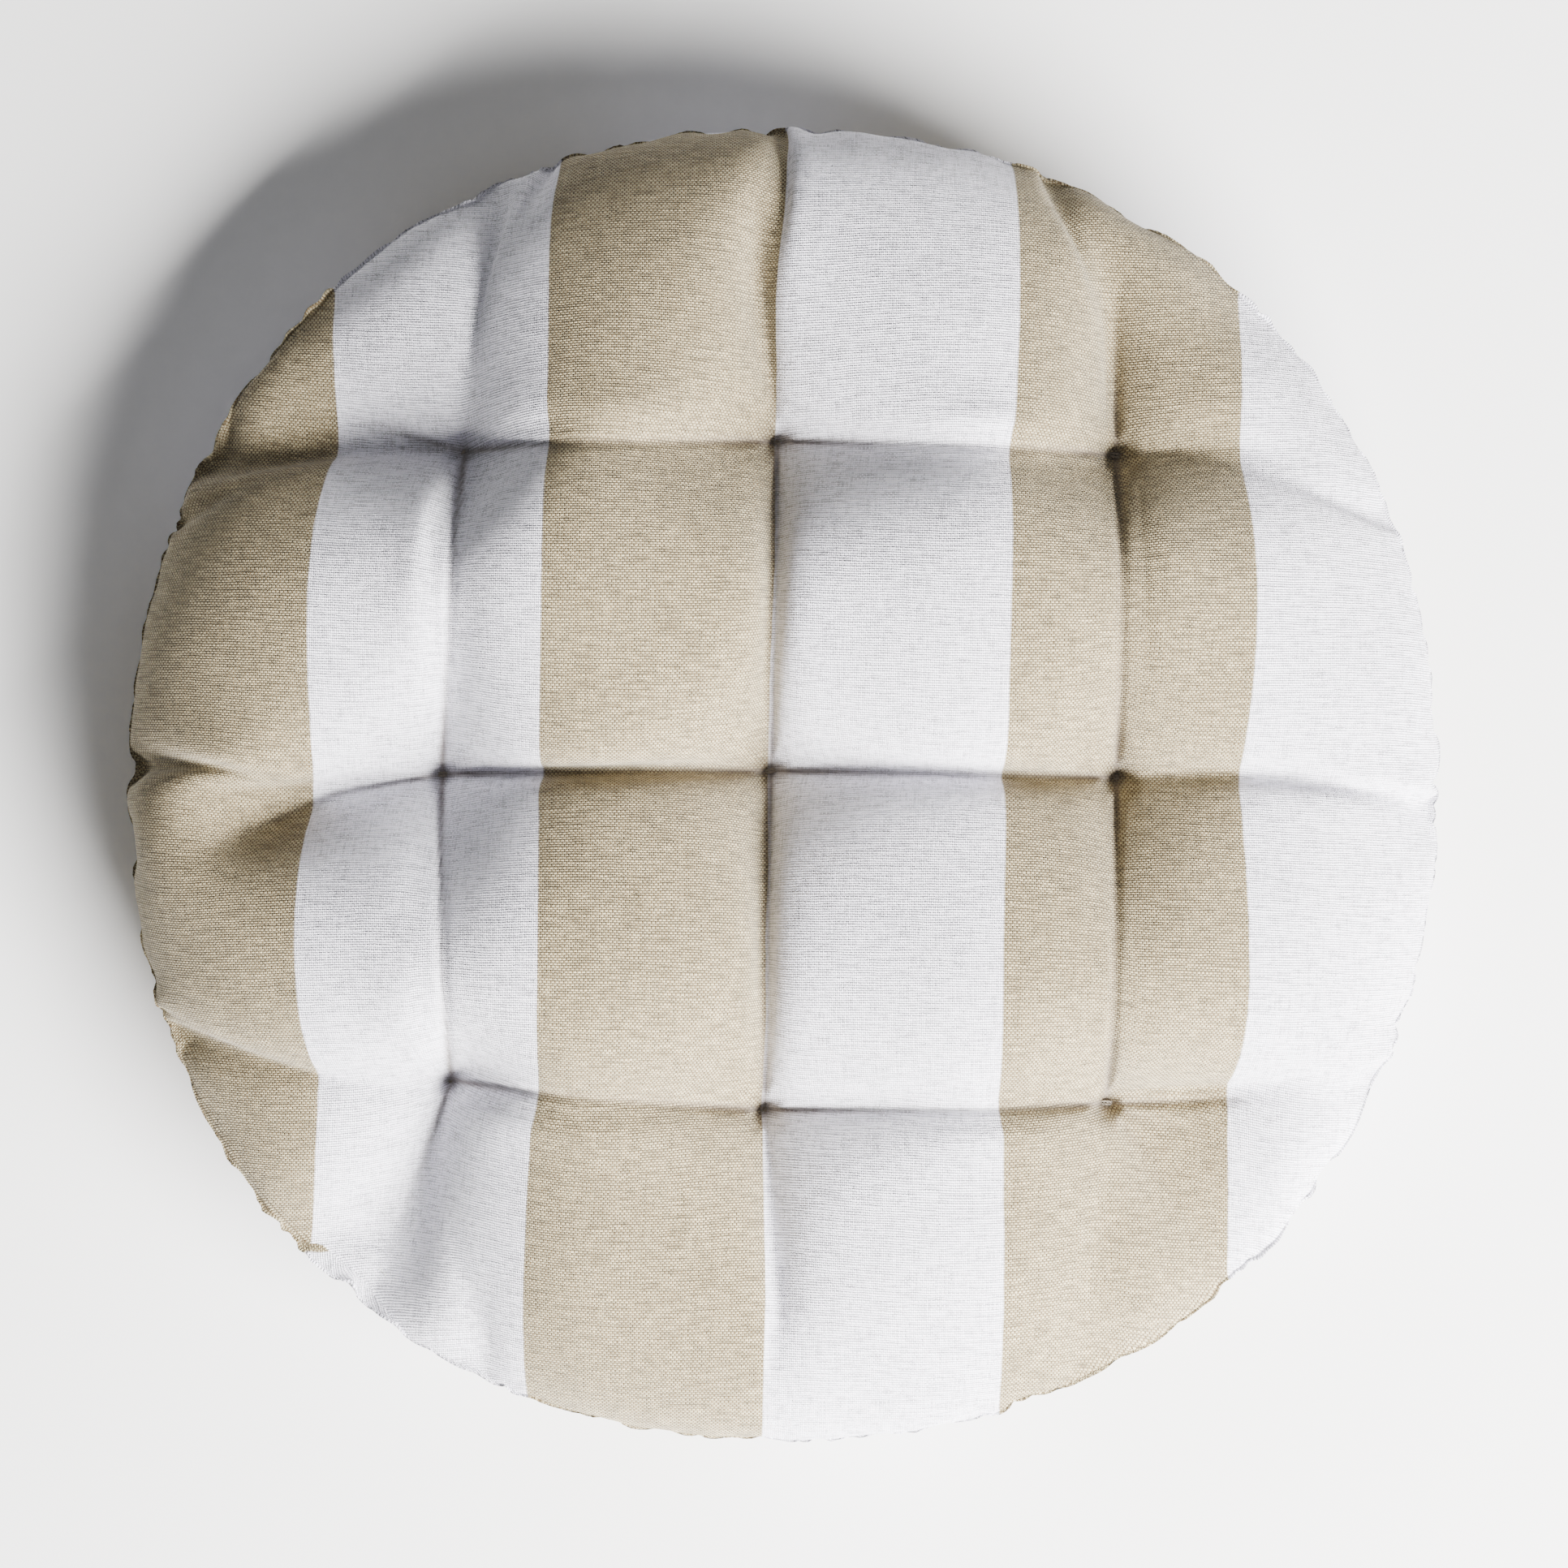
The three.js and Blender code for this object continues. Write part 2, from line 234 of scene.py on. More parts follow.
def flat_net(cells):
    """The net's points on the flat panel, with its crossings exactly on the flat panel's tufts."""
    radius, spacing = pattern().panel_radius, pattern().tuft_spacing
    lines = net_lines(cells)
    s, t = np.meshgrid(lines, lines, indexing="ij")
    x = s * np.sqrt(1 - (t / radius) ** 2 / 2)
    y = t * np.sqrt(1 - (s / radius) ** 2 / 2)
    crossing = spacing * math.sqrt(1 - (spacing / radius) ** 2 / 2)
    for column in (-1, 1):
        for row in (-1, 1):
            weight = hat(s, column) * hat(t, row)
            x = x + weight * column * (spacing - crossing)
            y = y + weight * row * (spacing - crossing)
    return np.stack([x, y], axis=-1)


def edge_order(count):
    """The net's edge points, counter-clockwise from the front left corner, as two index arrays."""
    run = np.arange(count - 1)
    last = np.full(count - 1, count - 1)
    first = np.zeros(count - 1, int)
    i = np.concatenate([run, last, count - 1 - run, first])
    j = np.concatenate([first, run, last, count - 1 - run])
    return i, j


def smooth_step(values, low, high):
    """0 below low, 1 above high, and a smooth rise between."""
    t = np.clip((values - low) / (high - low), 0, 1)
    return t * t * (3 - 2 * t)


# ---- where the cloth folds, in millimetres from the pad's middle ----
# Each outer fold is where it starts, its other points, and how deep it is.

TUFT_FOLDS = (
    ("back_left", "back_middle"), ("back_middle", "back_right"),
    ("middle_left", "centre"), ("centre", "middle_right"),
    ("front_left", "front_middle"), ("front_middle", "front_right"),
    ("back_left", "middle_left"), ("middle_left", "front_left"),
    ("back_middle", "centre"), ("centre", "front_middle"),
    ("back_right", "middle_right"), ("middle_right", "front_right"),
)
OUTER_FOLDS = (
    ("back_left", ((-136, 112), (-160, 124)), 0.8),
    ("back_left", ((-136, 103), (-170, 95)), 0.5),
    ("middle_left", ((-136, -3), (-186, -24)), 0.8),
    ("middle_left", ((-128, 2), (-167, -2)), 0.4),
    ("back_middle", ((-6, 150), (-9, 190)), 0.4),
    ("back_right", ((101, 150), (108, 172)), 0.8),
    ("back_right", ((135, 102), (165, 100)), 0.2),
    ("middle_right", ((135, 3), (160, 3)), 0.2),
    ("front_left", ((-112, -120), (-122, -150)), 0.8),
    ("front_middle", ((-4, -130), (-1, -160)), 0.45),
    ("front_right", ((118, -97), (138, -96)), 0.8),
    ("front_right", ((112, -115), (125, -138)), 0.5),
    ("front_right", ((125, -108), (150, -120)), 0.4),
)
SIDE_FOLDS = (
    ((107, 88), (109, 30), 0.12),
    ((-106, 82), (-104, 30), 0.1),
)


def fold_lines():
    """Every fold as (start, end, depth), in metres."""
    lines = [(TUFTS[a], TUFTS[b], 1.0) for a, b in TUFT_FOLDS]
    for place, points, depth in OUTER_FOLDS:
        route = [TUFTS[place]] + [np.array(point) * MM for point in points]
        lines += [(a, b, depth) for a, b in zip(route, route[1:])]
    lines += [(np.array(a) * MM, np.array(b) * MM, depth) for a, b, depth in SIDE_FOLDS]
    return lines


def distance_to_line(plan, a, b):
    """How far each point is from the straight line between two places."""
    along = b - a
    t = np.clip(((plan - a) @ along) / (along @ along), 0, 1)
    return np.linalg.norm(plan - a - t[..., None] * along, axis=-1)


def fold_strength(plan, width):
    """1 on a full fold, less on a shallow one, and falling to 0 beside it."""
    strength = np.zeros(plan.shape[:-1])
    for a, b, depth in fold_lines():
        strength = np.maximum(strength, depth * np.exp(-(distance_to_line(plan, a, b) / width) ** 2))
    return strength


# ---- the filled pad's shape: a cloth simulation on the two nets ----

PUSH_FULL_HEIGHT = 0.026  # above the seam plane, where the filling pushes at its stated pressure
PUSH_FALL = 3  # how sharply it falls above that height
PUSH_MOST = 3.5  # its push where the pad is thin, as a share of that
PUSH_LEAST = 0.1
EDGE_THINNING = 0.8  # how much less fibre there is along the edge
EDGE_ZONE = (0.120, 0.190)  # the radii between which it thins out
FOLD_ZONE = (0.150, 0.188)  # the radii between which the folds' pull dies away
CLEFT_ZONE = (0.155, 0.190)  # and the clefts' depth
CLEFT_LEAST = 0.45  # a cleft's depth well away from a tuft, as a share
CLEFT_TIGHT = 0.022  # how near a tuft it is deeper
FOLD_SHADE_FALL = 1.5  # how much faster the painted fold shade fades than the cleft
HOLE_SHADE_RADIUS = 0.0022  # of the painted shade round a stitch
SEAM_CLEAR = 0.010  # how far in from the seam the covers stay clear of the allowances
SEAM_SLOPE = 0.3  # how steeply they must rise over them
CHANNEL_WIDTH = 0.022  # half the width of a channel in the first guess
CHANNEL_DEPTH = 0.27  # and how much of the height it takes
TUFT_ZONE = (0.004, 0.040)  # how far from a tuft the first guess rises out of its hollow
ROUGHNESS = 0.0003  # of the first guess, so that no side is favoured
LUMPS = 14  # waves that make up the filling's unevenness
LUMP_SIZES = (0.035, 0.09)  # their shortest and longest
LUMP_DEPTH = 0.06  # a share of the push
GATHERS = range(38, 84, 3)  # round the edge, one wave of each number
PUCKERS = 54  # round the edge
PUCKER_MIDDLE = 0.7  # the puckers' usual depth, so that they leave the outline where it is
NOTCH_WIDTH = 0.003  # half the width of the notch at the end of a fold
ROLL_TURN = math.radians(92)  # from the middle of the rolled-up front to the pad's right
ROLL_ZONE = (0.80, 0.97)  # cosines of the angles from that middle where the roll starts and is full
DIAGONAL_HOLD = 0.3  # how much a cell's diagonals hold, against its sides
DIAGONAL_GIVE = 0.05  # how much more of their length they can lose
DAMPING = 0.02
SWEEPS = 4  # times that the threads are made to hold in one step
SEED = 11


def along_seam(seam, values, points):
    """What is known at each point of the seam, read off at other points' angles round the pad."""
    angle, seam_angle = [np.arctan2(at[..., 1], at[..., 0]) for at in (points, seam)]
    return np.interp(angle, seam_angle, values, period=2 * math.pi)


class PadCloth:
    """Both panels' nets as one array: side (upper, lower), column, row, and x, y, z."""

    def __init__(self, cells, points=None):
        """Lay out a net with so many cells to a bay, on given points or on a first guess."""
        self.cells = cells
        self.flat = flat_net(cells)
        self.count = self.flat.shape[0]
        self.plan = self.finished_plan()
        self.edge = edge_order(self.count)
        self.points = self.first_guess() if points is None else points
        self.speed = np.zeros_like(self.points)
        self.free = np.ones((2, self.count, self.count, 1))
        self.pins = [(*(1 + line for line in tuft_cell(place)), spot) for place, spot in TUFTS.items()]
        for column, row, _ in self.pins:
            self.free[:, (column + 1) * cells, (row + 1) * cells] = 0
        self.measure_threads()
        self.draw_folds(filling().crease, filling().crease_width)
        self.outline = self.edge_outline()

    def finished_plan(self):
        """Roughly where each point lies in the finished pad, seen from above."""
        radius, spacing = pattern().panel_radius, pattern().tuft_spacing
        shrink = PAD_RADIUS / radius
        plan = self.flat * shrink
        for place, spot in TUFTS.items():
            column, row = tuft_cell(place)
            weight = hat(self.flat[..., 0], column) * hat(self.flat[..., 1], row)
            plan = plan + weight[..., None] * (spot - np.array([column, row]) * spacing * shrink)
        return plan

    def first_guess(self):
        """A smooth pillow with shallow channels, for the filling to push into shape."""
        reach = np.minimum(1, np.linalg.norm(self.flat, axis=-1) / pattern().panel_radius)
        dome = (1 - reach ** 4) ** 0.6
        crown = PAD_TOP - SEAM_Z
        fold = np.zeros(reach.shape)
        for axis in (0, 1):
            for cell in (-1, 0, 1):
                away = self.flat[..., axis] - cell * pattern().tuft_spacing
                fold = np.maximum(fold, np.exp(-(away / CHANNEL_WIDTH) ** 2))
        pillow = crown * dome * (1 - CHANNEL_DEPTH * fold)
        nearest = np.min([np.linalg.norm(self.plan - spot, axis=-1) for spot in TUFTS.values()], axis=0)
        level = filling().hollow
        rise = level + (pillow - level) * smooth_step(nearest, *TUFT_ZONE)
        rise[self.edge] = 0
        random = np.random.default_rng(SEED)
        sides = [SEAM_Z + side * rise + random.normal(0, ROUGHNESS, rise.shape) for side in (1, -1)]
        points = np.stack([np.dstack([self.plan, z]) for z in sides])
        points[1][self.edge] = points[0][self.edge]
        return points

    def lumps(self):
        """The filling's own unevenness, as a slow wave field round 1."""
        random = np.random.default_rng(SEED + 1)
        field = np.zeros(self.plan.shape[:-1])
        for _ in range(LUMPS):
            turn = random.uniform(0, 2 * math.pi)
            wave = 2 * math.pi / random.uniform(*LUMP_SIZES)
            along = self.plan @ np.array([math.cos(turn), math.sin(turn)])
            field += np.sin(along * wave + random.uniform(0, 2 * math.pi))
        return 1 + LUMP_DEPTH * field

    def edge_outline(self):
        """The sewn edge's radius and height: fuller between the sides, puckered, and rolled up in front."""
        start = self.plan[self.edge]
        angle = np.arctan2(start[:, 1], start[:, 0])
        random = np.random.default_rng(SEED + 2)
        ripples = np.zeros((2, len(angle)))
        for lobes in GATHERS:
            for ripple in ripples:
                ripple += random.uniform(0.4, 1) * np.sin(lobes * angle + random.uniform(0, 2 * math.pi))
        ripples *= filling().ripple / np.abs(ripples).max()
        uneven = 3 * ripples[1] / filling().ripple
        scallops = np.sqrt(np.abs(np.sin(PUCKERS / 2 * angle + uneven))) - PUCKER_MIDDLE
        radius = PAD_RADIUS + EDGE_FULLNESS * (1 - np.cos(4 * angle)) / 2 + ripples[0]
        radius += filling().scallop * scallops * (1 + 0.2 * uneven)
        for _, points, depth in OUTER_FOLDS:
            across, along = points[-1]
            away = np.angle(np.exp(1j * (angle - math.atan2(along, across)))) * PAD_RADIUS
            radius -= filling().notch * depth * np.exp(-(away / NOTCH_WIDTH) ** 2)
        front = smooth_step(np.cos(angle + ROLL_TURN), *ROLL_ZONE)
        height = SEAM_Z + ripples[1] + front * filling().front_roll
        return np.stack([radius, height])

    def draw_folds(self, depth, width):
        """The filling's push, less the pull of the folds."""
        reach = np.linalg.norm(self.plan, axis=-1)
        folds = fold_strength(self.plan, width) * (1 - smooth_step(reach, *FOLD_ZONE))
        edge_fill = 1 - EDGE_THINNING * smooth_step(reach, *EDGE_ZONE)
        self.push = edge_fill * self.lumps() - depth * folds

    # Threads and diagonals: slices of the array's points that each hold one end.

    def pairs(self):
        """Batches of (first ends, second ends, is a diagonal), with no point twice in a batch."""
        last = self.count - 1
        whole, low, high = slice(None), slice(0, last), slice(1, None)
        for phase in (0, 1):
            first, second = slice(phase, last, 2), slice(phase + 1, None, 2)
            yield (first, whole), (second, whole), False
            yield (whole, first), (whole, second), False
            yield (first, low), (second, high), True
            yield (first, high), (second, low), True

    def measure_threads(self):
        """Each thread's length when flat, and what its bends are measured over."""
        on_edge = np.zeros((self.count, self.count), bool)
        on_edge[self.edge] = True
        self.threads = []
        for a, b, diagonal in self.pairs():
            rest = np.linalg.norm(self.flat[a] - self.flat[b], axis=-1)
            sewn = on_edge[a] & on_edge[b] & (not diagonal)
            rest = np.where(sewn, rest * filling().gather, rest)[..., None]
            slack = filling().slack - (DIAGONAL_GIVE if diagonal else 0)
            self.threads.append((a, b, rest, rest * slack, DIAGONAL_HOLD if diagonal else 1.0))
        self.bends = []
        for axis in (0, 1):
            for phase in (0, 1, 2):
                self.bends.append(self.bend_batch(axis, phase))
        self.area = (2 * pattern().panel_radius / (self.count - 1)) ** 2

    def bend_batch(self, axis, phase):
        """Runs of three neighbours, with no point in two runs, and where the middle one lies."""
        runs = (self.count - phase) // 3
        cuts = [slice(phase + step, phase + step + 3 * runs - 2, 3) for step in (0, 1, 2)]
        whole = slice(None)
        a, middle, b = [(cut, whole) if axis == 0 else (whole, cut) for cut in cuts]
        near = np.linalg.norm(self.flat[middle] - self.flat[a], axis=-1)
        far = np.linalg.norm(self.flat[b] - self.flat[middle], axis=-1)
        return a, middle, b, (near / (near + far))[..., None]

    @staticmethod
    def cell_areas(points):
        """Half the cross product of each cell's diagonals."""
        rising = points[:, 1:, 1:] - points[:, :-1, :-1]
        falling = points[:, :-1, 1:] - points[:, 1:, :-1]
        return np.cross(rising, falling) / 2

    def share_out(self, areas):
        """Each point's part of the cells round it."""
        shared = np.zeros((areas.shape[0], self.count, self.count, 3))
        for i in (slice(0, -1), slice(1, None)):
            for j in (slice(0, -1), slice(1, None)):
                shared[:, i, j] += areas / 4
        return shared

    def outward(self):
        """The cloth's outward area at each point, the edge sharing both panels'."""
        areas = self.cell_areas(self.points)
        areas[1] *= -1
        shared = self.share_out(areas)
        both = shared[0][self.edge] + shared[1][self.edge]
        shared[0][self.edge] = both / 2
        shared[1][self.edge] = both / 2
        return shared / self.area

    def push_now(self):
        """The filling's push: stronger where the pad is thin, weaker where it is full."""
        height = np.maximum(np.abs(self.points[..., 2] - SEAM_Z), MM)
        fullness = np.clip((PUSH_FULL_HEIGHT / height) ** PUSH_FALL, PUSH_LEAST, PUSH_MOST)
        return (self.push * fullness)[..., None]

    def hold_threads(self):
        """Keep each thread between its crowded and its full length."""
        for a, b, rest, least, strength in self.threads:
            first, second = self.points[(slice(None), *a)], self.points[(slice(None), *b)]
            free_a, free_b = self.free[(slice(None), *a)], self.free[(slice(None), *b)]
            gap = second - first
            size = np.sqrt(np.einsum("...k,...k->...", gap, gap))[..., None]
            wrong = np.maximum(size - rest, 0) + np.minimum(size - least, 0)
            gap *= strength * wrong / (size * (free_a + free_b))
            first += gap * free_a
            second -= gap * free_b

    def hold_bends(self, stiffness):
        """Straighten each run of three a little."""
        every = slice(None)
        for a, middle, b, place in self.bends:
            first, centre, second = [self.points[(every, *cut)] for cut in (a, middle, b)]
            off = first + (second - first) * place - centre
            centre += off * (0.5 * stiffness) * self.free[(every, *middle)]
            first -= off * (0.25 * stiffness) * self.free[(every, *a)]
            second -= off * (0.25 * stiffness) * self.free[(every, *b)]

    def hold_rest(self):
        """The shared edge, the floor and the tufts."""
        shared = (self.points[0][self.edge] + self.points[1][self.edge]) / 2
        radius, height = self.outline
        hold = filling().edge_hold
        away = radius / np.hypot(shared[:, 0], shared[:, 1])
        shared[:, :2] *= (1 + hold * (away - 1))[:, None]
        shared[:, :2] = self.evened(shared[:, :2])
        shared[:, 2] += hold * (height - shared[:, 2])
        self.points[0][self.edge] = shared
        self.points[1][self.edge] = shared
        np.maximum(self.points[..., 2], 0, out=self.points[..., 2])
        level = filling().hollow
        for column, row, spot in self.pins:
            i, j = (column + 1) * self.cells, (row + 1) * self.cells
            self.points[0, i, j] = (*spot, SEAM_Z + level)
            self.points[1, i, j] = (*spot, SEAM_Z - level)

    def evened(self, seam):
        """The edge points, with no more than a gentle crowding along the seam."""
        size = np.hypot(seam[:, 0], seam[:, 1])
        flat = self.flat[self.edge]
        start = np.arctan2(flat[:, 1], flat[:, 0])
        drift = np.arctan2(seam[:, 1], seam[:, 0]) - start
        drift = (drift + math.pi) % (2 * math.pi) - math.pi
        for _ in range(2):
            drift = drift / 2 + (np.roll(drift, 1) + np.roll(drift, -1)) / 4
        return np.column_stack([size * np.cos(start + drift), size * np.sin(start + drift)])

    def settle(self, steps, push_share, stiffness_share):
        """Let the filling push the cloth out, step by step, while its threads hold it."""
        push, stiffness = push_share * filling().pressure, stiffness_share * filling().stiffness
        for _ in range(steps):
            before = self.points.copy()
            self.speed = self.speed * (1 - DAMPING) + self.outward() * self.push_now() * push
            self.points += self.speed
            for _ in range(SWEEPS):
                self.hold_threads()
                self.hold_bends(stiffness)
                self.hold_rest()
            self.speed = self.points - before

    def set_folds(self):
        """Draw each cover down its stitch funnels and into its narrow clefts."""
        fill = filling()
        self.drawn = np.zeros(self.points.shape[:-1])
        for layer, side in ((0, 1), (1, -1)):
            plan = self.points[layer, ..., :2]
            away = np.min([np.linalg.norm(plan - spot, axis=-1) for spot in TUFTS.values()], axis=0)
            tight = CLEFT_LEAST + (1 - CLEFT_LEAST) * np.exp(-(away / CLEFT_TIGHT) ** 2)
            clear = 1 - smooth_step(np.linalg.norm(plan, axis=-1), *CLEFT_ZONE)
            cleft = tight * clear * fold_strength(plan, fill.cleft_width)
            funnel = (fill.hollow - fill.stitch) * np.exp(-(away / fill.funnel) ** 2)
            self.points[layer, ..., 2] -= side * np.maximum(fill.cleft * cleft, funnel)
            # The painted shade mask: the clefts and a spot round each stitch, where the fold shade colour
            # goes.
            self.drawn[layer] = np.maximum(cleft ** FOLD_SHADE_FALL, np.exp(-(away / HOLE_SHADE_RADIUS) ** 2))
        self.keep_apart()

    def keep_apart(self):
        """Lift each cover clear of the allowances turned in along the seam, so the covers never cross."""
        seam = self.points[0][self.edge]
        inset = pattern().panel_radius - np.linalg.norm(self.flat, axis=-1)
        least = SEAM_SLOPE * np.minimum(inset, SEAM_CLEAR) - np.maximum(inset - SEAM_CLEAR, 0)
        for layer, side in ((0, 1), (1, -1)):
            near = along_seam(seam, seam[:, 2], self.points[layer])
            height = side * self.points[layer, ..., 2]
            self.points[layer, ..., 2] = side * np.maximum(height, side * near + least)

    def finer(self):
        """The same shape on a net of twice as many cells."""
        points = self.points
        for axis in (1, 2):
            points = np.moveaxis(points, axis, 0)
            wide = np.empty((2 * points.shape[0] - 1, *points.shape[1:]))
            wide[::2] = points
            wide[1::2] = (points[1:] + points[:-1]) / 2
            points = np.moveaxis(wide, 0, axis)
        return PadCloth(self.cells * 2, np.ascontiguousarray(points))


# For each fineness of the net: the steps, and the shares of the pressure and of the stiffness.
COARSE = (300, 1.0, 1.0)
FINER = (160, 0.7, 1.0)
FINEST = (70, 0.3, 2.0)
SOLVED = {}


def solved_pad():
    """The filled pad's cloth, worked out once."""
    if not SOLVED:
        fill = filling()
        cloth = PadCloth(fill.bay_cells // 4)
        cloth.settle(*COARSE)
        cloth = cloth.finer()
        cloth.settle(*FINER)
        cloth = cloth.finer()
        cloth.plan = cloth.points[0, ..., :2].copy()
        cloth.draw_folds(fill.pinch, fill.pinch_width)
        cloth.settle(*FINEST)
        cloth.set_folds()
        SOLVED["pad"] = cloth
        low, high = cloth.points.min(axis=(0, 1, 2)), cloth.points.max(axis=(0, 1, 2))
        print("pad shape", low.round(4), high.round(4))
    return SOLVED["pad"]


# ---- mesh helpers ----


def new_piece(name, points, faces, material):
    """A smooth-shaded object in the shared frame, its place in its mesh."""
    mesh = bpy.data.meshes.new(name)
    mesh.from_pydata([tuple(p) for p in points], [], [tuple(f) for f in faces])
    mesh.validate()
    mesh.polygons.foreach_set("use_smooth", [True] * len(mesh.polygons))
    mesh.materials.append(material)
    piece = bpy.data.objects.new(name, mesh)
    bpy.context.scene.collection.objects.link(piece)
    return piece


def apply_modifiers(piece):
    """Leave the piece as a plain mesh."""
    bpy.ops.object.select_all(action="DESELECT")
    bpy.context.view_layer.objects.active = piece
    piece.select_set(True)
    for modifier in list(piece.modifiers):
        bpy.ops.object.modifier_apply(modifier=modifier.name)
    piece.select_set(False)


def net_faces(count, up, first=0):
    """The net's four-sided faces, facing up or down."""
    index = first + np.arange(count * count).reshape(count, count)
    a, b, c, d = index[:-1, :-1], index[1:, :-1], index[1:, 1:], index[:-1, 1:]
    corners = (a, b, c, d) if up else (a, d, c, b)
    return np.stack([corner.ravel() for corner in corners], axis=-1)


def band_faces(upper, lower):
    """The band between two closed rings, facing out where the first ring is the upper one."""
    return np.stack([upper, lower, np.roll(lower, -1), np.roll(upper, -1)], axis=-1)


def settle_piece(piece, node):
    """Tell the frame what a piece rides on, and hide the part that it stands for."""
    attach(piece, "root")
    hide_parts(node)


# ---- materials ----


class Graph:
    """A material's nodes, wired by short calls."""

    def __init__(self, name):
        """Start a material with its own shader."""
        self.material = bpy.data.materials.new(name)
        self.material.use_nodes = True
        self.tree = self.material.node_tree
        self.shader = self.tree.nodes["Principled BSDF"]

    def node(self, kind, **settings):
        """A new node."""
        node = self.tree.nodes.new(kind)
        for key, value in settings.items():
            setattr(node, key, value)
        return node

    def put(self, value, socket):
        """Wire or set an input."""
        if isinstance(value, bpy.types.NodeSocket):
            self.tree.links.new(value, socket)
        else:
            socket.default_value = value

    def math(self, operation, *values):
        """One sum."""
        node = self.node("ShaderNodeMath", operation=operation)
        for value, socket in zip(values, node.inputs):
            self.put(value, socket)
        return node.outputs[0]

    def blend(self, factor, a, b, blend_type="MIX"):
        """Two colours put together."""
        node = self.node("ShaderNodeMix", data_type="RGBA", blend_type=blend_type)
        self.put(factor, node.inputs[0])
        self.put(a, node.inputs[6])
        self.put(b, node.inputs[7])
        return node.outputs[2]

    def shaded(self, base, tone):
        """A colour made darker or paler by a tone."""
        grey = self.node("ShaderNodeCombineColor")
        for socket in grey.inputs:
            self.put(tone, socket)
        return self.blend(1.0, base, grey.outputs[0], "MULTIPLY")

    def mix(self, factor, a, b):
        """Two numbers put together."""
        node = self.node("ShaderNodeMix", data_type="FLOAT")
        self.put(factor, node.inputs[0])
        self.put(a, node.inputs[2])
        self.put(b, node.inputs[3])
        return node.outputs[0]

    def noise(self, vector, scale, detail=2.0, roughness=0.5):
        """Uneven values round a half."""
        node = self.node("ShaderNodeTexNoise")
        self.put(vector, node.inputs["Vector"])
        node.inputs["Scale"].default_value = scale
        node.inputs["Detail"].default_value = detail
        node.inputs["Roughness"].default_value = roughness
        return node.outputs["Fac"]

    def stretched(self, vector, scale):
        """A place, scaled each way."""
        node = self.node("ShaderNodeMapping")
        self.put(vector, node.inputs["Vector"])
        node.inputs["Scale"].default_value = scale
        return node.outputs[0]

    def varied(self, noise, low, high):
        """A noise's usual range, spread from low to high."""
        return self.between(noise, 0.3, 0.7, low, high)

    def between(self, value, low, high, to_low=0.0, to_high=1.0):
        """One range laid over another, and held to its ends."""
        node = self.node("ShaderNodeMapRange")
        self.put(value, node.inputs["Value"])
        for socket, number in zip(("From Min", "From Max", "To Min", "To Max"), (low, high, to_low, to_high)):
            self.put(number, node.inputs[socket])
        return node.outputs[0]

    def bump(self, height, distance, strength=1.0, under=None):
        """A surface raised by a height, over another if there is one."""
        node = self.node("ShaderNodeBump")
        node.inputs["Strength"].default_value = strength
        node.inputs["Distance"].default_value = distance
        self.put(height, node.inputs["Height"])
        if under is not None:
            self.put(under, node.inputs["Normal"])
        return node.outputs[0]


def rgba(values):
    """A colour with full opacity."""
    return (*values, 1.0)


UV_NAME = "flat_panel"
# The mesh attribute that carries the painted shade of the folds and stitch holes.
FOLD_SHADE_NAME = "fold_depth"
UV_SPAN = 0.5  # metres of flat cloth across the whole UV square


def flat_position(graph):
    """The place on the flat panel, in metres from its middle."""
    uv = graph.node("ShaderNodeUVMap", uv_map=UV_NAME)
    mapping = graph.node("ShaderNodeMapping")
    graph.put(uv.outputs[0], mapping.inputs["Vector"])
    mapping.inputs["Location"].default_value = (-UV_SPAN / 2, -UV_SPAN / 2, 0)
    mapping.inputs["Scale"].default_value = (UV_SPAN, UV_SPAN, 1)
    return mapping.outputs[0]


THREAD_SWAY = 0.55  # how far the threads wander, in weft pitches
SLUB_SHIFT = 0.7  # how far a slub pushes its neighbours, in thread pitches
SLUBS = 120  # slubs in a metre of thread
WEFT_OVERRUN = 0.42  # how much of a warp thread's roundness its neighbouring floats cover
FRAY = 0.0003  # unevenness of the stripes' borders
FOLD_SHADE_SHARE = 0.85  # how much of the painted fold shade colour shows in the folds
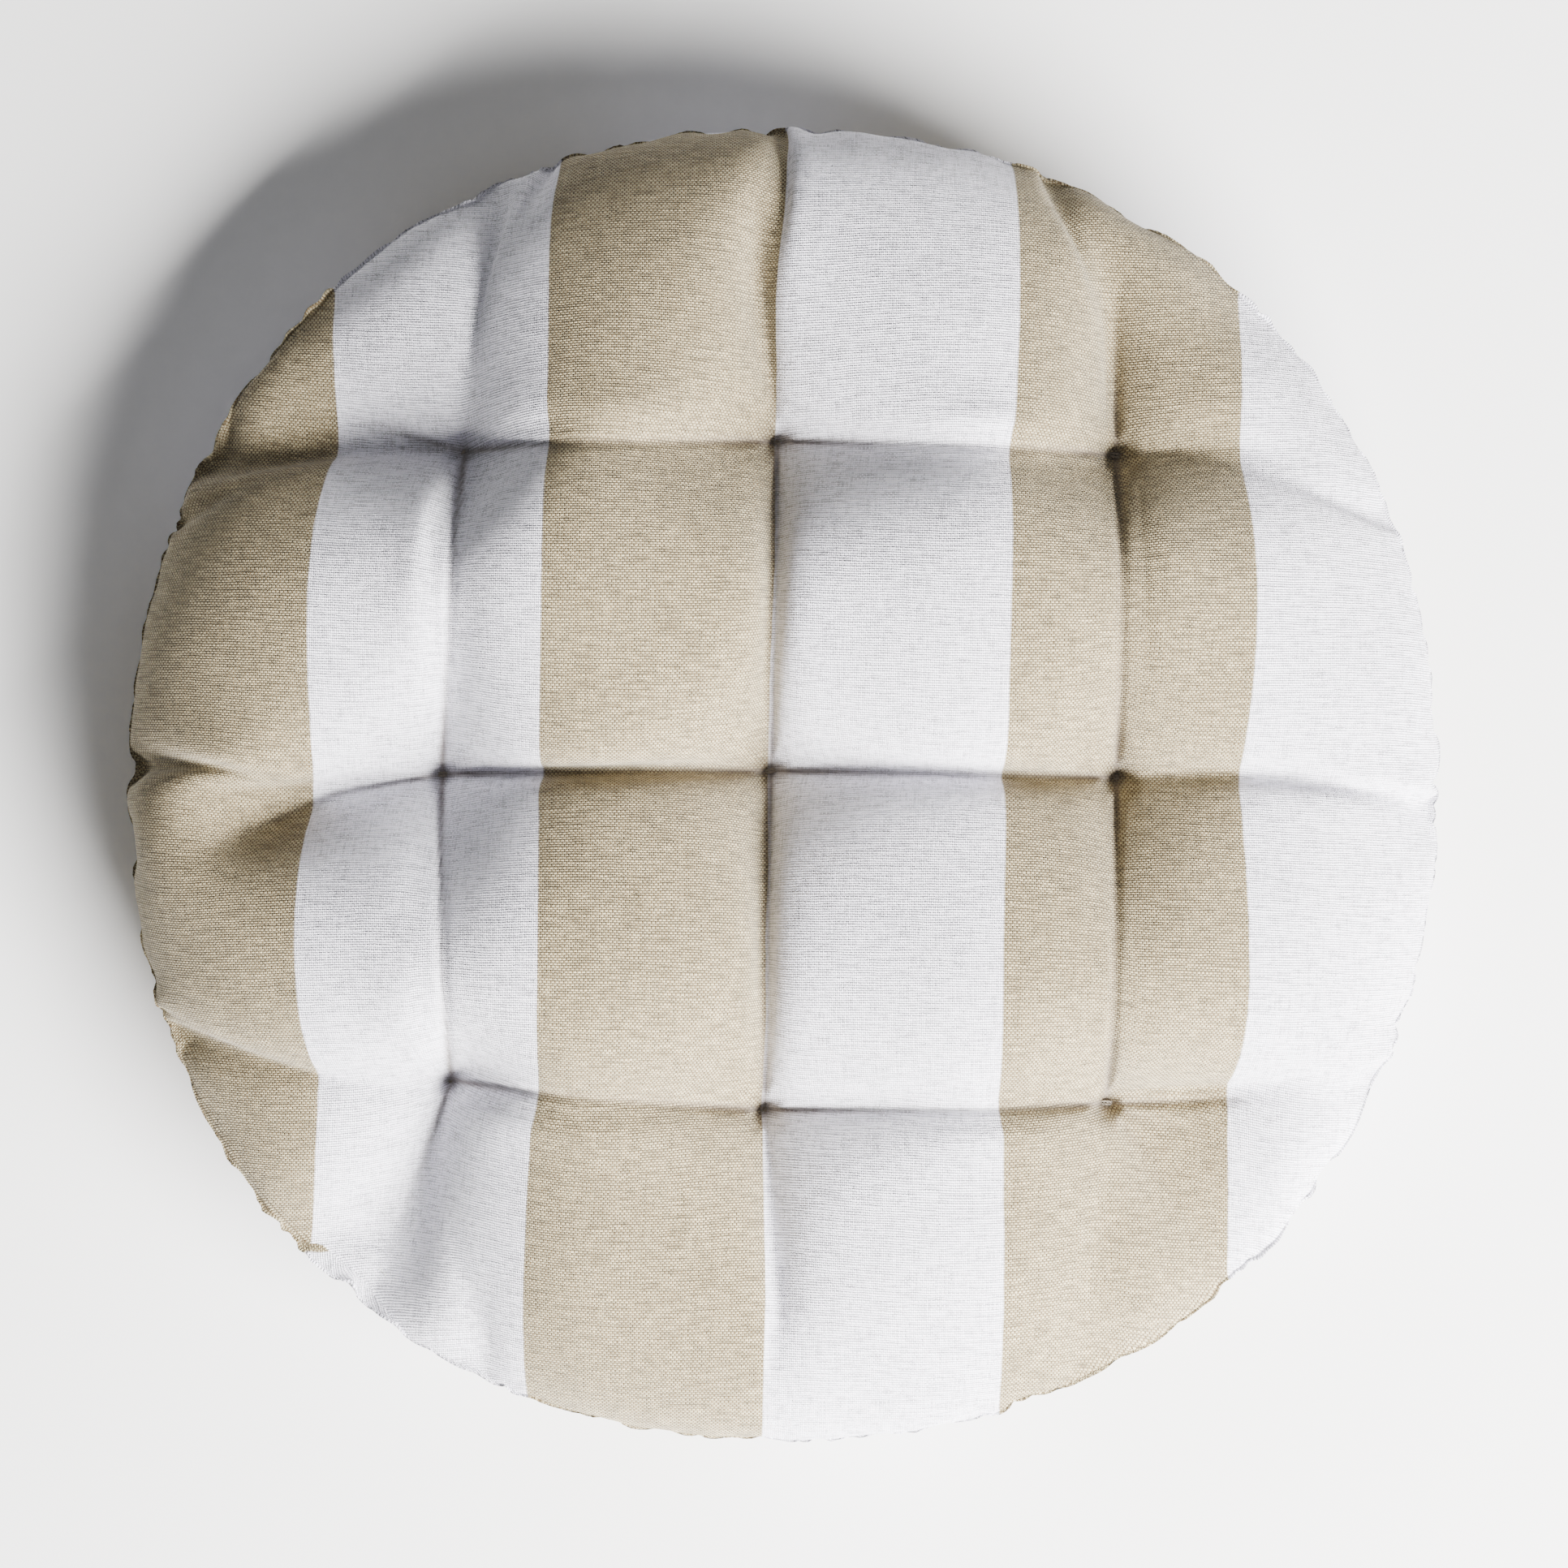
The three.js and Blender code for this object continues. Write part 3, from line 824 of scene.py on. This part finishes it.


def striped_cloth(name, shift, turn):
    """A plain weave of warp stripes, beige and white, crossed by a pale weft."""
    graph = Graph(name)
    finish = finish_settings()
    flat = flat_position(graph)
    turned = graph.node("ShaderNodeMapping")
    graph.put(flat, turned.inputs["Vector"])
    turned.inputs["Rotation"].default_value = (0, 0, turn)
    turned.inputs["Location"].default_value = (shift, 0, 0)
    place = turned.outputs[0]
    axes = graph.node("ShaderNodeSeparateXYZ")
    graph.put(place, axes.inputs[0])
    across, along = axes.outputs[0], axes.outputs[1]
    # Threads wander a little, so the rows are never ruled lines.
    reach = THREAD_SWAY * finish.weft_pitch
    sway = graph.between(graph.noise(place, 60, 3), 0, 1, -reach, reach)
    # Slubs: each thread is thicker and paler here and there along its own length, and pushes its neighbours.
    warp_slub = graph.noise(graph.stretched(place, (1 / finish.warp_pitch, SLUBS, 1)), 1.0, 2, 0.6)
    weft_slub = graph.noise(graph.stretched(place, (SLUBS, 1 / finish.weft_pitch, 1)), 1.0, 2, 0.6)
    warp = graph.math("ADD", graph.math("DIVIDE", graph.math("ADD", across, sway), finish.warp_pitch),
                      graph.math("MULTIPLY", warp_slub, SLUB_SHIFT))
    weft = graph.math("ADD", graph.math("DIVIDE", graph.math("ADD", along, sway), finish.weft_pitch),
                      graph.math("MULTIPLY", weft_slub, SLUB_SHIFT))
    warp_round = graph.math("SINE", graph.math("MULTIPLY", graph.math("FRACT", warp), math.pi))
    weft_round = graph.math("SINE", graph.math("MULTIPLY", graph.math("FRACT", weft), math.pi))
    crossing = graph.math("ADD", graph.math("FLOOR", warp), graph.math("FLOOR", weft))
    over = graph.math("PINGPONG", crossing, 1.0)  # 1 where the weft lies over the warp
    # A weft float is longer than its own crossing, so the cloth reads as rows of dashes.
    overrun = graph.math("LESS_THAN", warp_round, WEFT_OVERRUN)
    over = graph.math("MAXIMUM", over, overrun)
    warp_top = graph.math("MULTIPLY", warp_round, graph.math("SQRT", weft_round))
    weft_top = graph.math("MULTIPLY", weft_round, graph.between(warp_round, 0, 1, 0.75, 1))
    height = graph.mix(over, warp_top, weft_top)
    slub = graph.mix(over, warp_slub, weft_slub)
    # The stripes, their borders a thread or so wide.
    frayed = graph.math("ADD", across, graph.between(warp_slub, 0, 1, -FRAY, FRAY))
    wave = graph.math("SINE", graph.math("MULTIPLY", frayed, math.pi / pattern().stripe))
    border = 0.4 * finish.warp_pitch * math.pi / pattern().stripe
    white = graph.between(wave, -border, border)
    dyed = graph.blend(over, rgba(finish.beige), rgba(finish.cream))
    cloth = graph.blend(white, dyed, rgba(finish.white))
    tone = graph.varied(slub, 0.46, 1.38)
    mottle = graph.math("MULTIPLY", graph.varied(graph.noise(place, 38, 4, 0.6), 0.94, 1.06),
                        graph.varied(graph.noise(place, 420, 2), 0.80, 1.16))
    gaps = graph.between(height, 0.0, 0.55, 0.26, 1.0)
    shade = graph.math("MULTIPLY", graph.math("MULTIPLY", tone, mottle), gaps)
    shade = graph.mix(white, shade, graph.between(shade, 0.15, 0.95, 0.20, 1.07))
    cloth = graph.shaded(cloth, shade)
    # Painted shade: down in the folds and the stitch holes the cloth is darkened towards the fold shade
    # colour.
    fold = graph.node("ShaderNodeAttribute", attribute_name=FOLD_SHADE_NAME)
    crowded = graph.math("MULTIPLY", fold.outputs["Fac"], FOLD_SHADE_SHARE)
    cloth = graph.blend(crowded, cloth, rgba(finish.crowded))
    graph.put(cloth, graph.shader.inputs["Base Color"])
    nep = graph.between(graph.noise(place, 900, 1), 0.72, 0.8)
    relief = graph.math("ADD", height, graph.math("ADD", graph.math("MULTIPLY", slub, 0.5), nep))
    weave = graph.bump(relief, 0.00024, 0.95)
    soft = graph.bump(graph.noise(place, 70, 3), 0.0008, 0.25, weave)
    graph.put(soft, graph.shader.inputs["Normal"])
    graph.put(graph.varied(slub, 0.95, 0.82), graph.shader.inputs["Roughness"])
    graph.shader.inputs["Sheen Weight"].default_value = 0.25
    graph.shader.inputs["Sheen Roughness"].default_value = 0.5
    graph.shader.inputs["Specular IOR Level"].default_value = 0.2
    return graph.material


def twisted_thread(name):
    """Dull spun thread, a little fuzzy."""
    graph = Graph(name)
    place = graph.node("ShaderNodeTexCoord").outputs["Object"]
    fuzz = graph.noise(place, 5200, 3, 0.6)
    tone = graph.varied(graph.noise(place, 700, 2), 0.82, 1.12)
    graph.put(graph.shaded(rgba(finish_settings().thread), tone), graph.shader.inputs["Base Color"])
    graph.put(graph.bump(fuzz, 0.00006, 0.7), graph.shader.inputs["Normal"])
    graph.put(graph.varied(fuzz, 0.62, 0.82), graph.shader.inputs["Roughness"])
    graph.shader.inputs["Sheen Weight"].default_value = 0.2
    return graph.material


def fibre_wadding(name):
    """White crimped fibre, in soft tufts."""
    graph = Graph(name)
    place = graph.node("ShaderNodeTexCoord").outputs["Object"]
    tufty = graph.noise(graph.stretched(place, (90, 260, 160)), 1.0, 5, 0.65)
    fine = graph.noise(place, 1500, 3, 0.7)
    tone = graph.varied(tufty, 0.88, 1.05)
    graph.put(graph.shaded(rgba(finish_settings().fibre), tone), graph.shader.inputs["Base Color"])
    lumps = graph.bump(tufty, 0.0012, 0.8)
    graph.put(graph.bump(fine, 0.0002, 0.6, lumps), graph.shader.inputs["Normal"])
    graph.put(graph.varied(fine, 0.9, 1.0), graph.shader.inputs["Roughness"])
    graph.shader.inputs["Sheen Weight"].default_value = 0.4
    return graph.material


def pale_floor(name):
    """An even, nearly white floor."""
    graph = Graph(name)
    place = graph.node("ShaderNodeTexCoord").outputs["Object"]
    tone = graph.varied(graph.noise(place, 3, 3), 0.99, 1.0)
    graph.put(graph.shaded(rgba(finish_settings().floor), tone), graph.shader.inputs["Base Color"])
    graph.shader.inputs["Roughness"].default_value = 0.9
    return graph.material


# ---- the covers ----

SEAM_PARTING = 0.00015  # each cover's turned edge keeps this far from the seam plane
FOLD_RINGS = ((0.0, 0.0010), (0.00025, 0.0004), (0.0009, 0.0))  # inwards, and away from the other cover
ALLOWANCE_RINGS = 3


def inward_at_edge(points):
    """Level unit vectors from the edge towards the inside of the pad."""
    inward = -points * (1, 1, 0)
    return inward / np.linalg.norm(inward, axis=-1, keepdims=True)


def cover_mesh(name, side, material):
    """One cover: its net, the fold at the seam, and the allowance turned in."""
    cloth = solved_pad()
    layer = 0 if side > 0 else 1
    skin = cloth.points[layer].copy()
    flat = cloth.flat
    edge = cloth.edge
    seam = skin[edge].copy()
    flat_edge = flat[edge]
    flat_out = flat_edge / np.linalg.norm(flat_edge, axis=-1, keepdims=True)
    inward = inward_at_edge(seam)
    up = np.array([0, 0, side])
    parted = SEAM_PARTING * up
    skin[edge] = seam + inward * FOLD_RINGS[0][0] + up * FOLD_RINGS[0][1] + parted
    rings = list(FOLD_RINGS[1:])
    for step in range(1, ALLOWANCE_RINGS + 1):
        inset = FOLD_RINGS[-1][0] + (pattern().allowance - FOLD_RINGS[-1][0]) * step / ALLOWANCE_RINGS
        rings.append((inset, 0.0))
    points = [skin.reshape(-1, 3)]
    flats = [flat.reshape(-1, 2)]
    faces = [net_faces(cloth.count, side > 0)]
    previous = edge[0] * cloth.count + edge[1]
    for inset, lift in rings:
        ring = len(np.concatenate(points)) + np.arange(len(seam))
        points.append(seam + inward * inset + up * lift + parted)
        flats.append(flat_edge + flat_out * inset)
        faces.append(band_faces(previous, ring) if side > 0 else band_faces(ring, previous))
        previous = ring
    points, flats, faces = np.concatenate(points), np.concatenate(flats), np.concatenate(faces)
    piece = new_piece(name, points, faces, material)
    # The painted shade mask of the folds and stitch holes, handed to the material as a mesh attribute.
    fold_shade_mask = np.zeros(len(points))
    fold_shade_mask[:cloth.count ** 2] = cloth.drawn[layer].ravel()
    piece.data.attributes.new(FOLD_SHADE_NAME, "FLOAT", "POINT").data.foreach_set("value", fold_shade_mask)
    layer = piece.data.uv_layers.new(name=UV_NAME)
    corner = np.empty(len(piece.data.loops), int)
    piece.data.loops.foreach_get("vertex_index", corner)
    layer.data.foreach_set("uv", (flats[corner] / UV_SPAN + 0.5).ravel())
    wall = piece.modifiers.new("Cloth", "SOLIDIFY")
    wall.thickness = pattern().cloth
    wall.offset = -1
    wall.use_rim = True
    apply_modifiers(piece)
    return piece


# ---- the filling ----

FILLING_DEPTH = 0.0028  # the fibre's skin lies this far inside the cloth's
FILLING_REACH = 4  # cells over which it keeps under the lowest cloth
FILLING_GAP = 0.002  # between it and the turned-in allowances
FILLING_LEAST = 0.0015  # half its least thickness


def least_nearby(heights, reach):
    """Each point's least height within so many cells, on both nets."""
    count = heights.shape[1]
    for axis in (1, 2):
        for _ in range(reach):
            padded = np.pad(heights, [(1, 1) if n == axis else (0, 0) for n in range(3)], mode="edge")
            before, after = [np.take(padded, range(start, start + count), axis) for start in (0, 2)]
            heights = np.minimum(heights, np.minimum(before, after))
    return heights


def filling_mesh(name, material):
    """One closed body of fibre under both covers."""
    cloth = solved_pad()
    sides = np.array([1, -1])[:, None, None]
    levels = least_nearby(sides * cloth.points[..., 2], FILLING_REACH) - FILLING_DEPTH
    middle = (levels[0] - levels[1]) / 2
    points = cloth.points.copy()
    points[..., 2] = middle + sides * np.maximum((levels[0] + levels[1]) / 2, FILLING_LEAST)
    points = points[:, ::2, ::2].copy()
    count = points.shape[1]
    edge = edge_order(count)
    seam = cloth.points[0][cloth.edge]
    seam_reach = along_seam(seam, np.hypot(seam[:, 0], seam[:, 1]), points)
    reach = seam_reach - pattern().allowance - FILLING_GAP
    distance = np.hypot(points[..., 0], points[..., 1])
    points[..., :2] *= np.minimum(1, reach / np.maximum(distance, 1e-6))[..., None]
    ring = edge[0] * count + edge[1]
    faces = np.concatenate([
        net_faces(count, True), net_faces(count, False, count ** 2), band_faces(ring, ring + count ** 2),
    ])
    return new_piece(name, points.reshape(-1, 3), faces, material)


# ---- threads ----


def frames_along(points):
    """A tangent and two side vectors at each point of a route, turning as little as they can."""
    tangents = np.gradient(points, axis=0)
    tangents /= np.linalg.norm(tangents, axis=-1, keepdims=True)
    side = np.cross(tangents[0], (0.3, 0.5, 0.81))
    sides = []
    for tangent in tangents:
        side = side - tangent * (side @ tangent)
        side = side / np.linalg.norm(side)
        sides.append(side)
    sides = np.array(sides)
    return tangents, sides, np.cross(tangents, sides)


def tube(points, radius, sides=7):
    """A round tube along a route, its ends closed with a point."""
    _, side, other = frames_along(points)
    count = len(points)
    angles = 2 * math.pi * np.arange(sides) / sides
    wheel = np.cos(angles)[None, :, None] * side[:, None] + np.sin(angles)[None, :, None] * other[:, None]
    rings = (points[:, None] + radius * wheel).reshape(-1, 3)
    index = np.arange(count * sides).reshape(count, sides)
    faces = []
    for a, b in zip(index, index[1:]):
        faces += [(a[k], a[(k + 1) % sides], b[(k + 1) % sides], b[k]) for k in range(sides)]
    caps = np.array([points[0], points[-1]])
    start, end = len(rings), len(rings) + 1
    faces += [(start, index[0][(k + 1) % sides], index[0][k]) for k in range(sides)]
    faces += [(end, index[-1][k], index[-1][(k + 1) % sides]) for k in range(sides)]
    return np.concatenate([rings, caps]), faces


def distances(route):
    """How far along a route each of its points is."""
    return np.concatenate([[0], np.cumsum(np.linalg.norm(np.diff(route, axis=0), axis=-1))])


def resample(route, step):
    """The same route, as points about a step apart."""
    route = np.array(route, float)
    along = distances(route)
    places = np.linspace(0, along[-1], max(4, int(round(along[-1] / step)) + 1))
    return np.column_stack([np.interp(places, along, route[:, axis]) for axis in range(3)])


def rounded(route, step, passes=3):
    """A route through corner points, with its corners rounded off."""
    points = resample(route, step)
    for _ in range(passes):
        points[1:-1] = (points[:-2] + 2 * points[1:-1] + points[2:]) / 4
    return points


def twisted_tubes(points, radius, lay):
    """Two strands laid round each other along a route."""
    _, side, other = frames_along(points)
    along = distances(points)
    parts = []
    for strand in (0, math.pi):
        turn = 2 * math.pi * along / lay + strand
        offset = np.cos(turn)[:, None] * side + np.sin(turn)[:, None] * other
        parts.append(tube(points + offset * radius * 0.5, radius * 0.62))
    return parts


def join_parts(name, parts, material):
    """Several meshes as one piece."""
    points, faces, start = [], [], 0
    for part_points, part_faces in parts:
        points.append(part_points)
        faces += [tuple(start + k for k in face) for face in part_faces]
        start += len(part_points)
    return new_piece(name, np.concatenate(points), faces, material)


TUFT_THREAD_RADIUS = 0.0005
TUFT_THREAD_LAY = 0.0022
TUFT_STITCH = 0.004
KNOT_TURNS = 3
KNOT_STEPS = 10  # points in one turn
KNOT_RADIUS = 0.0011
THREAD_STEP = 0.0004  # between the points of a thread's route


def knot_route(middle, along, radius):
    """A small overhand knot: a few tight turns round the stitch."""
    across = np.array([-along[1], along[0], 0])
    route = []
    for step in range(KNOT_TURNS * KNOT_STEPS + 1):
        turn = 2 * math.pi * step / KNOT_STEPS
        forward = (step / (KNOT_TURNS * KNOT_STEPS) - 0.5) * 2.2 * radius
        ring = across * math.cos(turn) + np.array([0, 0, 1]) * math.sin(turn)
        route.append(middle + along * forward + ring * radius)
    return route


def tuft_thread(place, material):
    """One tuft's loop: two passes across the top, a leg down through each hole, and the knot underneath."""
    spot = TUFTS[place]
    turn = math.radians(TUFT_TURNS[place])
    along = np.array([math.cos(turn), math.sin(turn), 0])
    centre = np.array([*spot, SEAM_Z])
    level = filling().stitch
    half = along * TUFT_STITCH / 2
    up = np.array([0, 0, 1])
    top = level + 0.4 * TUFT_THREAD_RADIUS
    across = np.array([-along[1], along[0], 0]) * 0.9 * TUFT_THREAD_RADIUS
    parts = []
    for sway in (-1, 1):
        loop = [
            centre - half + sway * across * 0.5 - up * top,
            centre - half + sway * across * 0.5 + up * (top - 0.0004),
            centre - half * 0.6 + sway * across + up * (top + 0.0003),
            centre + half * 0.6 + sway * across + up * (top + 0.0003),
            centre + half + sway * across * 0.5 + up * (top - 0.0004),
            centre + half + sway * across * 0.5 - up * top,
        ]
        parts += twisted_tubes(rounded(loop, THREAD_STEP), TUFT_THREAD_RADIUS * 0.8, TUFT_THREAD_LAY)
    below = centre - up * (top + 0.0004)
    bar = [below - half, below - half * 0.5, below + half * 0.5, below + half]
    parts += twisted_tubes(rounded(bar, THREAD_STEP), TUFT_THREAD_RADIUS, TUFT_THREAD_LAY)
    knot = rounded(knot_route(below, along, KNOT_RADIUS), THREAD_STEP, 1)
    parts += twisted_tubes(knot, TUFT_THREAD_RADIUS, TUFT_THREAD_LAY)
    for end in (-1, 1):
        tail = [
            below + end * along * 0.0012,
            below + end * along * 0.0035 - up * 0.0015 + across,
            below + end * along * 0.0070 - up * 0.0022 + 3 * across,
            below + end * along * 0.0105 - up * 0.0040 + 2 * across,
        ]
        parts += twisted_tubes(rounded(tail, 0.0005), TUFT_THREAD_RADIUS, TUFT_THREAD_LAY)
    return join_parts("tufting_" + place, parts, material)


def seam_route():
    """The seam line, counter-clockwise: its points, their angles, and the way in from each."""
    cloth = solved_pad()
    seam = cloth.points[0][cloth.edge]
    angle = np.arctan2(seam[:, 1], seam[:, 0]) % (2 * math.pi)
    return seam, angle, inward_at_edge(seam)


def seam_stretch(inset, start, end, step):
    """Points along a stretch of the seam, a little inside it."""
    seam, angle, inward = seam_route()
    line = seam + inward * inset
    first = int(np.argmin(np.abs(angle - start)))
    line, angle = np.roll(line, -first, axis=0), np.roll(angle, -first)
    swept = (angle - start + 0.01) % (2 * math.pi)
    inside = swept <= (end - start) + 0.01
    return resample(line[: int(np.argmin(inside)) if not inside.all() else len(line)], step)


SEAM_STITCH = 0.0028
SEAM_THREAD_RADIUS = 0.00018
SEAM_INSET = 0.0011
SEAM_SWING = 0.0002  # how far the thread dips to either side
SEAM_STEP = SEAM_STITCH / 6
CLOSING_STITCH = 1.5 * SEAM_STITCH
CLOSING_RADIUS = 1.3 * SEAM_THREAD_RADIUS
CLOSING_SWING = 0.0003
CLOSING_GAP = 0.01  # in radians, between the two threads


def stitched_line(route, pitch, swing, radius):
    """A thread that dips from one cover's fold to the other's, once each stitch."""
    along = distances(route)
    wave = np.sin(2 * math.pi * along / pitch)
    lifted = route.copy()
    lifted[:, 2] += swing * np.tanh(2.5 * wave)
    return tube(lifted, radius, sides=5)


# ---- the stage ----

FLOOR_SIZE = 8
FLOOR_CELLS = 8
SENSOR_WIDTH = 36  # millimetres
SKY_COLOUR = (0.96, 0.97, 1.0, 1)
LIGHT_AIM = Vector((0, 0, 0.03))
LIGHTS = {  # place, size and tint
    "key": ((1.15, -1.25, 1.0), (1.6, 1.2), (1.0, 0.985, 0.965)),
    "fill": ((0.0, 0.2, 1.9), (1.6, 1.6), (0.97, 0.97, 1.0)),
}


def look_down_camera():
    """Straight above the pad's middle, as far off as the view's width asks."""
    stage = stage_settings()
    data = bpy.data.cameras.new("Camera")
    data.lens = stage.lens
    data.sensor_width = SENSOR_WIDTH
    camera = bpy.data.objects.new("Camera", data)
    height = SEAM_Z + stage.view_width * stage.lens / data.sensor_width
    camera.location = (0, 0, height)
    data.clip_end = 20
    bpy.context.scene.collection.objects.link(camera)
    bpy.context.scene.camera = camera


def area_light(name, place, size, power, tint):
    """A soft rectangular light, aimed at the pad."""
    data = bpy.data.lights.new(name, "AREA")
    data.shape = "RECTANGLE"
    data.size, data.size_y = size
    data.energy = power
    data.color = tint
    light = bpy.data.objects.new(name, data)
    aim = LIGHT_AIM - Vector(place)
    light.matrix_world = Matrix.Translation(place) @ aim.to_track_quat("-Z", "Y").to_matrix().to_4x4()
    bpy.context.scene.collection.objects.link(light)


# ---- operators: one for each piece or group of like pieces ----


class PAD_OT_covers(bpy.types.Operator):
    """Sew the two covers of striped cloth, filled out and drawn in at the tufts"""
    bl_idname = "pad.covers"
    bl_label = "Covers"

    def execute(self, context):
        settings = pattern()
        upper = cover_mesh("upper_cover_cloth", 1, striped_cloth("striped cloth, upper", UPPER_SHIFT, 0.0))
        settle_piece(upper, "top_cover")
        cloth = striped_cloth("striped cloth, lower", settings.lower_shift, settings.lower_turn)
        lower = cover_mesh("lower_cover_cloth", -1, cloth)
        settle_piece(lower, "bottom_cover")
        return {"FINISHED"}


class PAD_OT_filling(bpy.types.Operator):
    """Fill the covers with one body of fibre, clear of the turned-in allowances"""
    bl_idname = "pad.filling"
    bl_label = "Filling"

    def execute(self, context):
        body = filling_mesh("fibre_body", fibre_wadding("polyester fibre"))
        settle_piece(body, "fibre_filling")
        return {"FINISHED"}


class PAD_OT_tuft_threads(bpy.types.Operator):
    """Draw the covers together with a knotted loop of thread at each tuft"""
    bl_idname = "pad.tuft_threads"
    bl_label = "Tuft threads"

    def execute(self, context):
        material = twisted_thread("tufting thread")
        for place in TUFTS:
            settle_piece(tuft_thread(place, material), "tuft_thread_" + place)
        return {"FINISHED"}


class PAD_OT_seam_threads(bpy.types.Operator):
    """Sew the edge, and the stretch that is closed after filling"""
    bl_idname = "pad.seam_threads"
    bl_label = "Seam threads"

    def execute(self, context):
        material = twisted_thread("seam thread")
        start = math.atan2(CLOSING_HIGH[1], CLOSING_LOW[0]) % (2 * math.pi)
        end = math.atan2(CLOSING_HIGH[1], CLOSING_HIGH[0]) % (2 * math.pi)
        closing = seam_stretch(SEAM_INSET, start, end, SEAM_STEP)
        parts = [stitched_line(closing, CLOSING_STITCH, CLOSING_SWING, CLOSING_RADIUS)]
        settle_piece(join_parts("closing_stitches", parts, material), "closing_seam_thread")
        rest = seam_stretch(SEAM_INSET, end + CLOSING_GAP, start + 2 * math.pi - CLOSING_GAP, SEAM_STEP)
        parts = [stitched_line(rest, SEAM_STITCH, SEAM_SWING, SEAM_THREAD_RADIUS)]
        settle_piece(join_parts("edge_stitches", parts, material), "edge_seam_thread")
        return {"FINISHED"}


class PAD_OT_stage(bpy.types.Operator):
    """Lay the floor, and set the lights and the camera"""
    bl_idname = "pad.stage"
    bl_label = "Stage"

    def execute(self, context):
        stage = stage_settings()
        bpy.ops.object.select_all(action="DESELECT")
        bpy.ops.mesh.primitive_grid_add(
            x_subdivisions=FLOOR_CELLS, y_subdivisions=FLOOR_CELLS, size=FLOOR_SIZE, location=(0, 0, 0))
        floor = bpy.context.object
        floor.name = "floor"
        floor.data.materials.append(pale_floor("pale floor"))
        for name, (place, size, tint) in LIGHTS.items():
            area_light(name, place, size, getattr(stage, name + "_power"), tint)
        world = bpy.data.worlds.new("studio")
        world.use_nodes = True
        background = world.node_tree.nodes["Background"]
        background.inputs["Color"].default_value = SKY_COLOUR
        background.inputs["Strength"].default_value = stage.sky
        bpy.context.scene.world = world
        look_down_camera()
        return {"FINISHED"}


class PAD_PT_panel(bpy.types.Panel):
    """A button for each operator, and every setting"""
    bl_label = "Seat pad"
    bl_idname = "PAD_PT_panel"
    bl_space_type = "VIEW_3D"
    bl_region_type = "UI"
    bl_category = "Seat pad"

    def draw(self, context):
        for operator in OPERATORS:
            self.layout.operator(operator.bl_idname)
        for group in GROUPS:
            settings = getattr(context.scene, group)
            box = self.layout.box()
            for name in settings.__annotations__:
                box.prop(settings, name)


GROUPS = {
    "pad_pattern": PatternSettings,
    "pad_fill": FillSettings,
    "pad_finish": FinishSettings,
    "pad_stage": StageSettings,
}
OPERATORS = (PAD_OT_stage, PAD_OT_covers, PAD_OT_filling, PAD_OT_tuft_threads, PAD_OT_seam_threads)


def register():
    """Add the settings, the operators and the panel."""
    for item in (*GROUPS.values(), *OPERATORS, PAD_PT_panel):
        bpy.utils.register_class(item)
    for name, group in GROUPS.items():
        setattr(bpy.types.Scene, name, PointerProperty(type=group))


def unregister():
    """Take them away again."""
    for name in GROUPS:
        delattr(bpy.types.Scene, name)
    for item in reversed((*GROUPS.values(), *OPERATORS, PAD_PT_panel)):
        bpy.utils.unregister_class(item)


def main():
    """Make the whole pad, and note its size."""
    register()
    bpy.ops.pad.stage()
    bpy.ops.pad.covers()
    bpy.ops.pad.filling()
    bpy.ops.pad.tuft_threads()
    bpy.ops.pad.seam_threads()


if __name__ == "__main__":
    main()
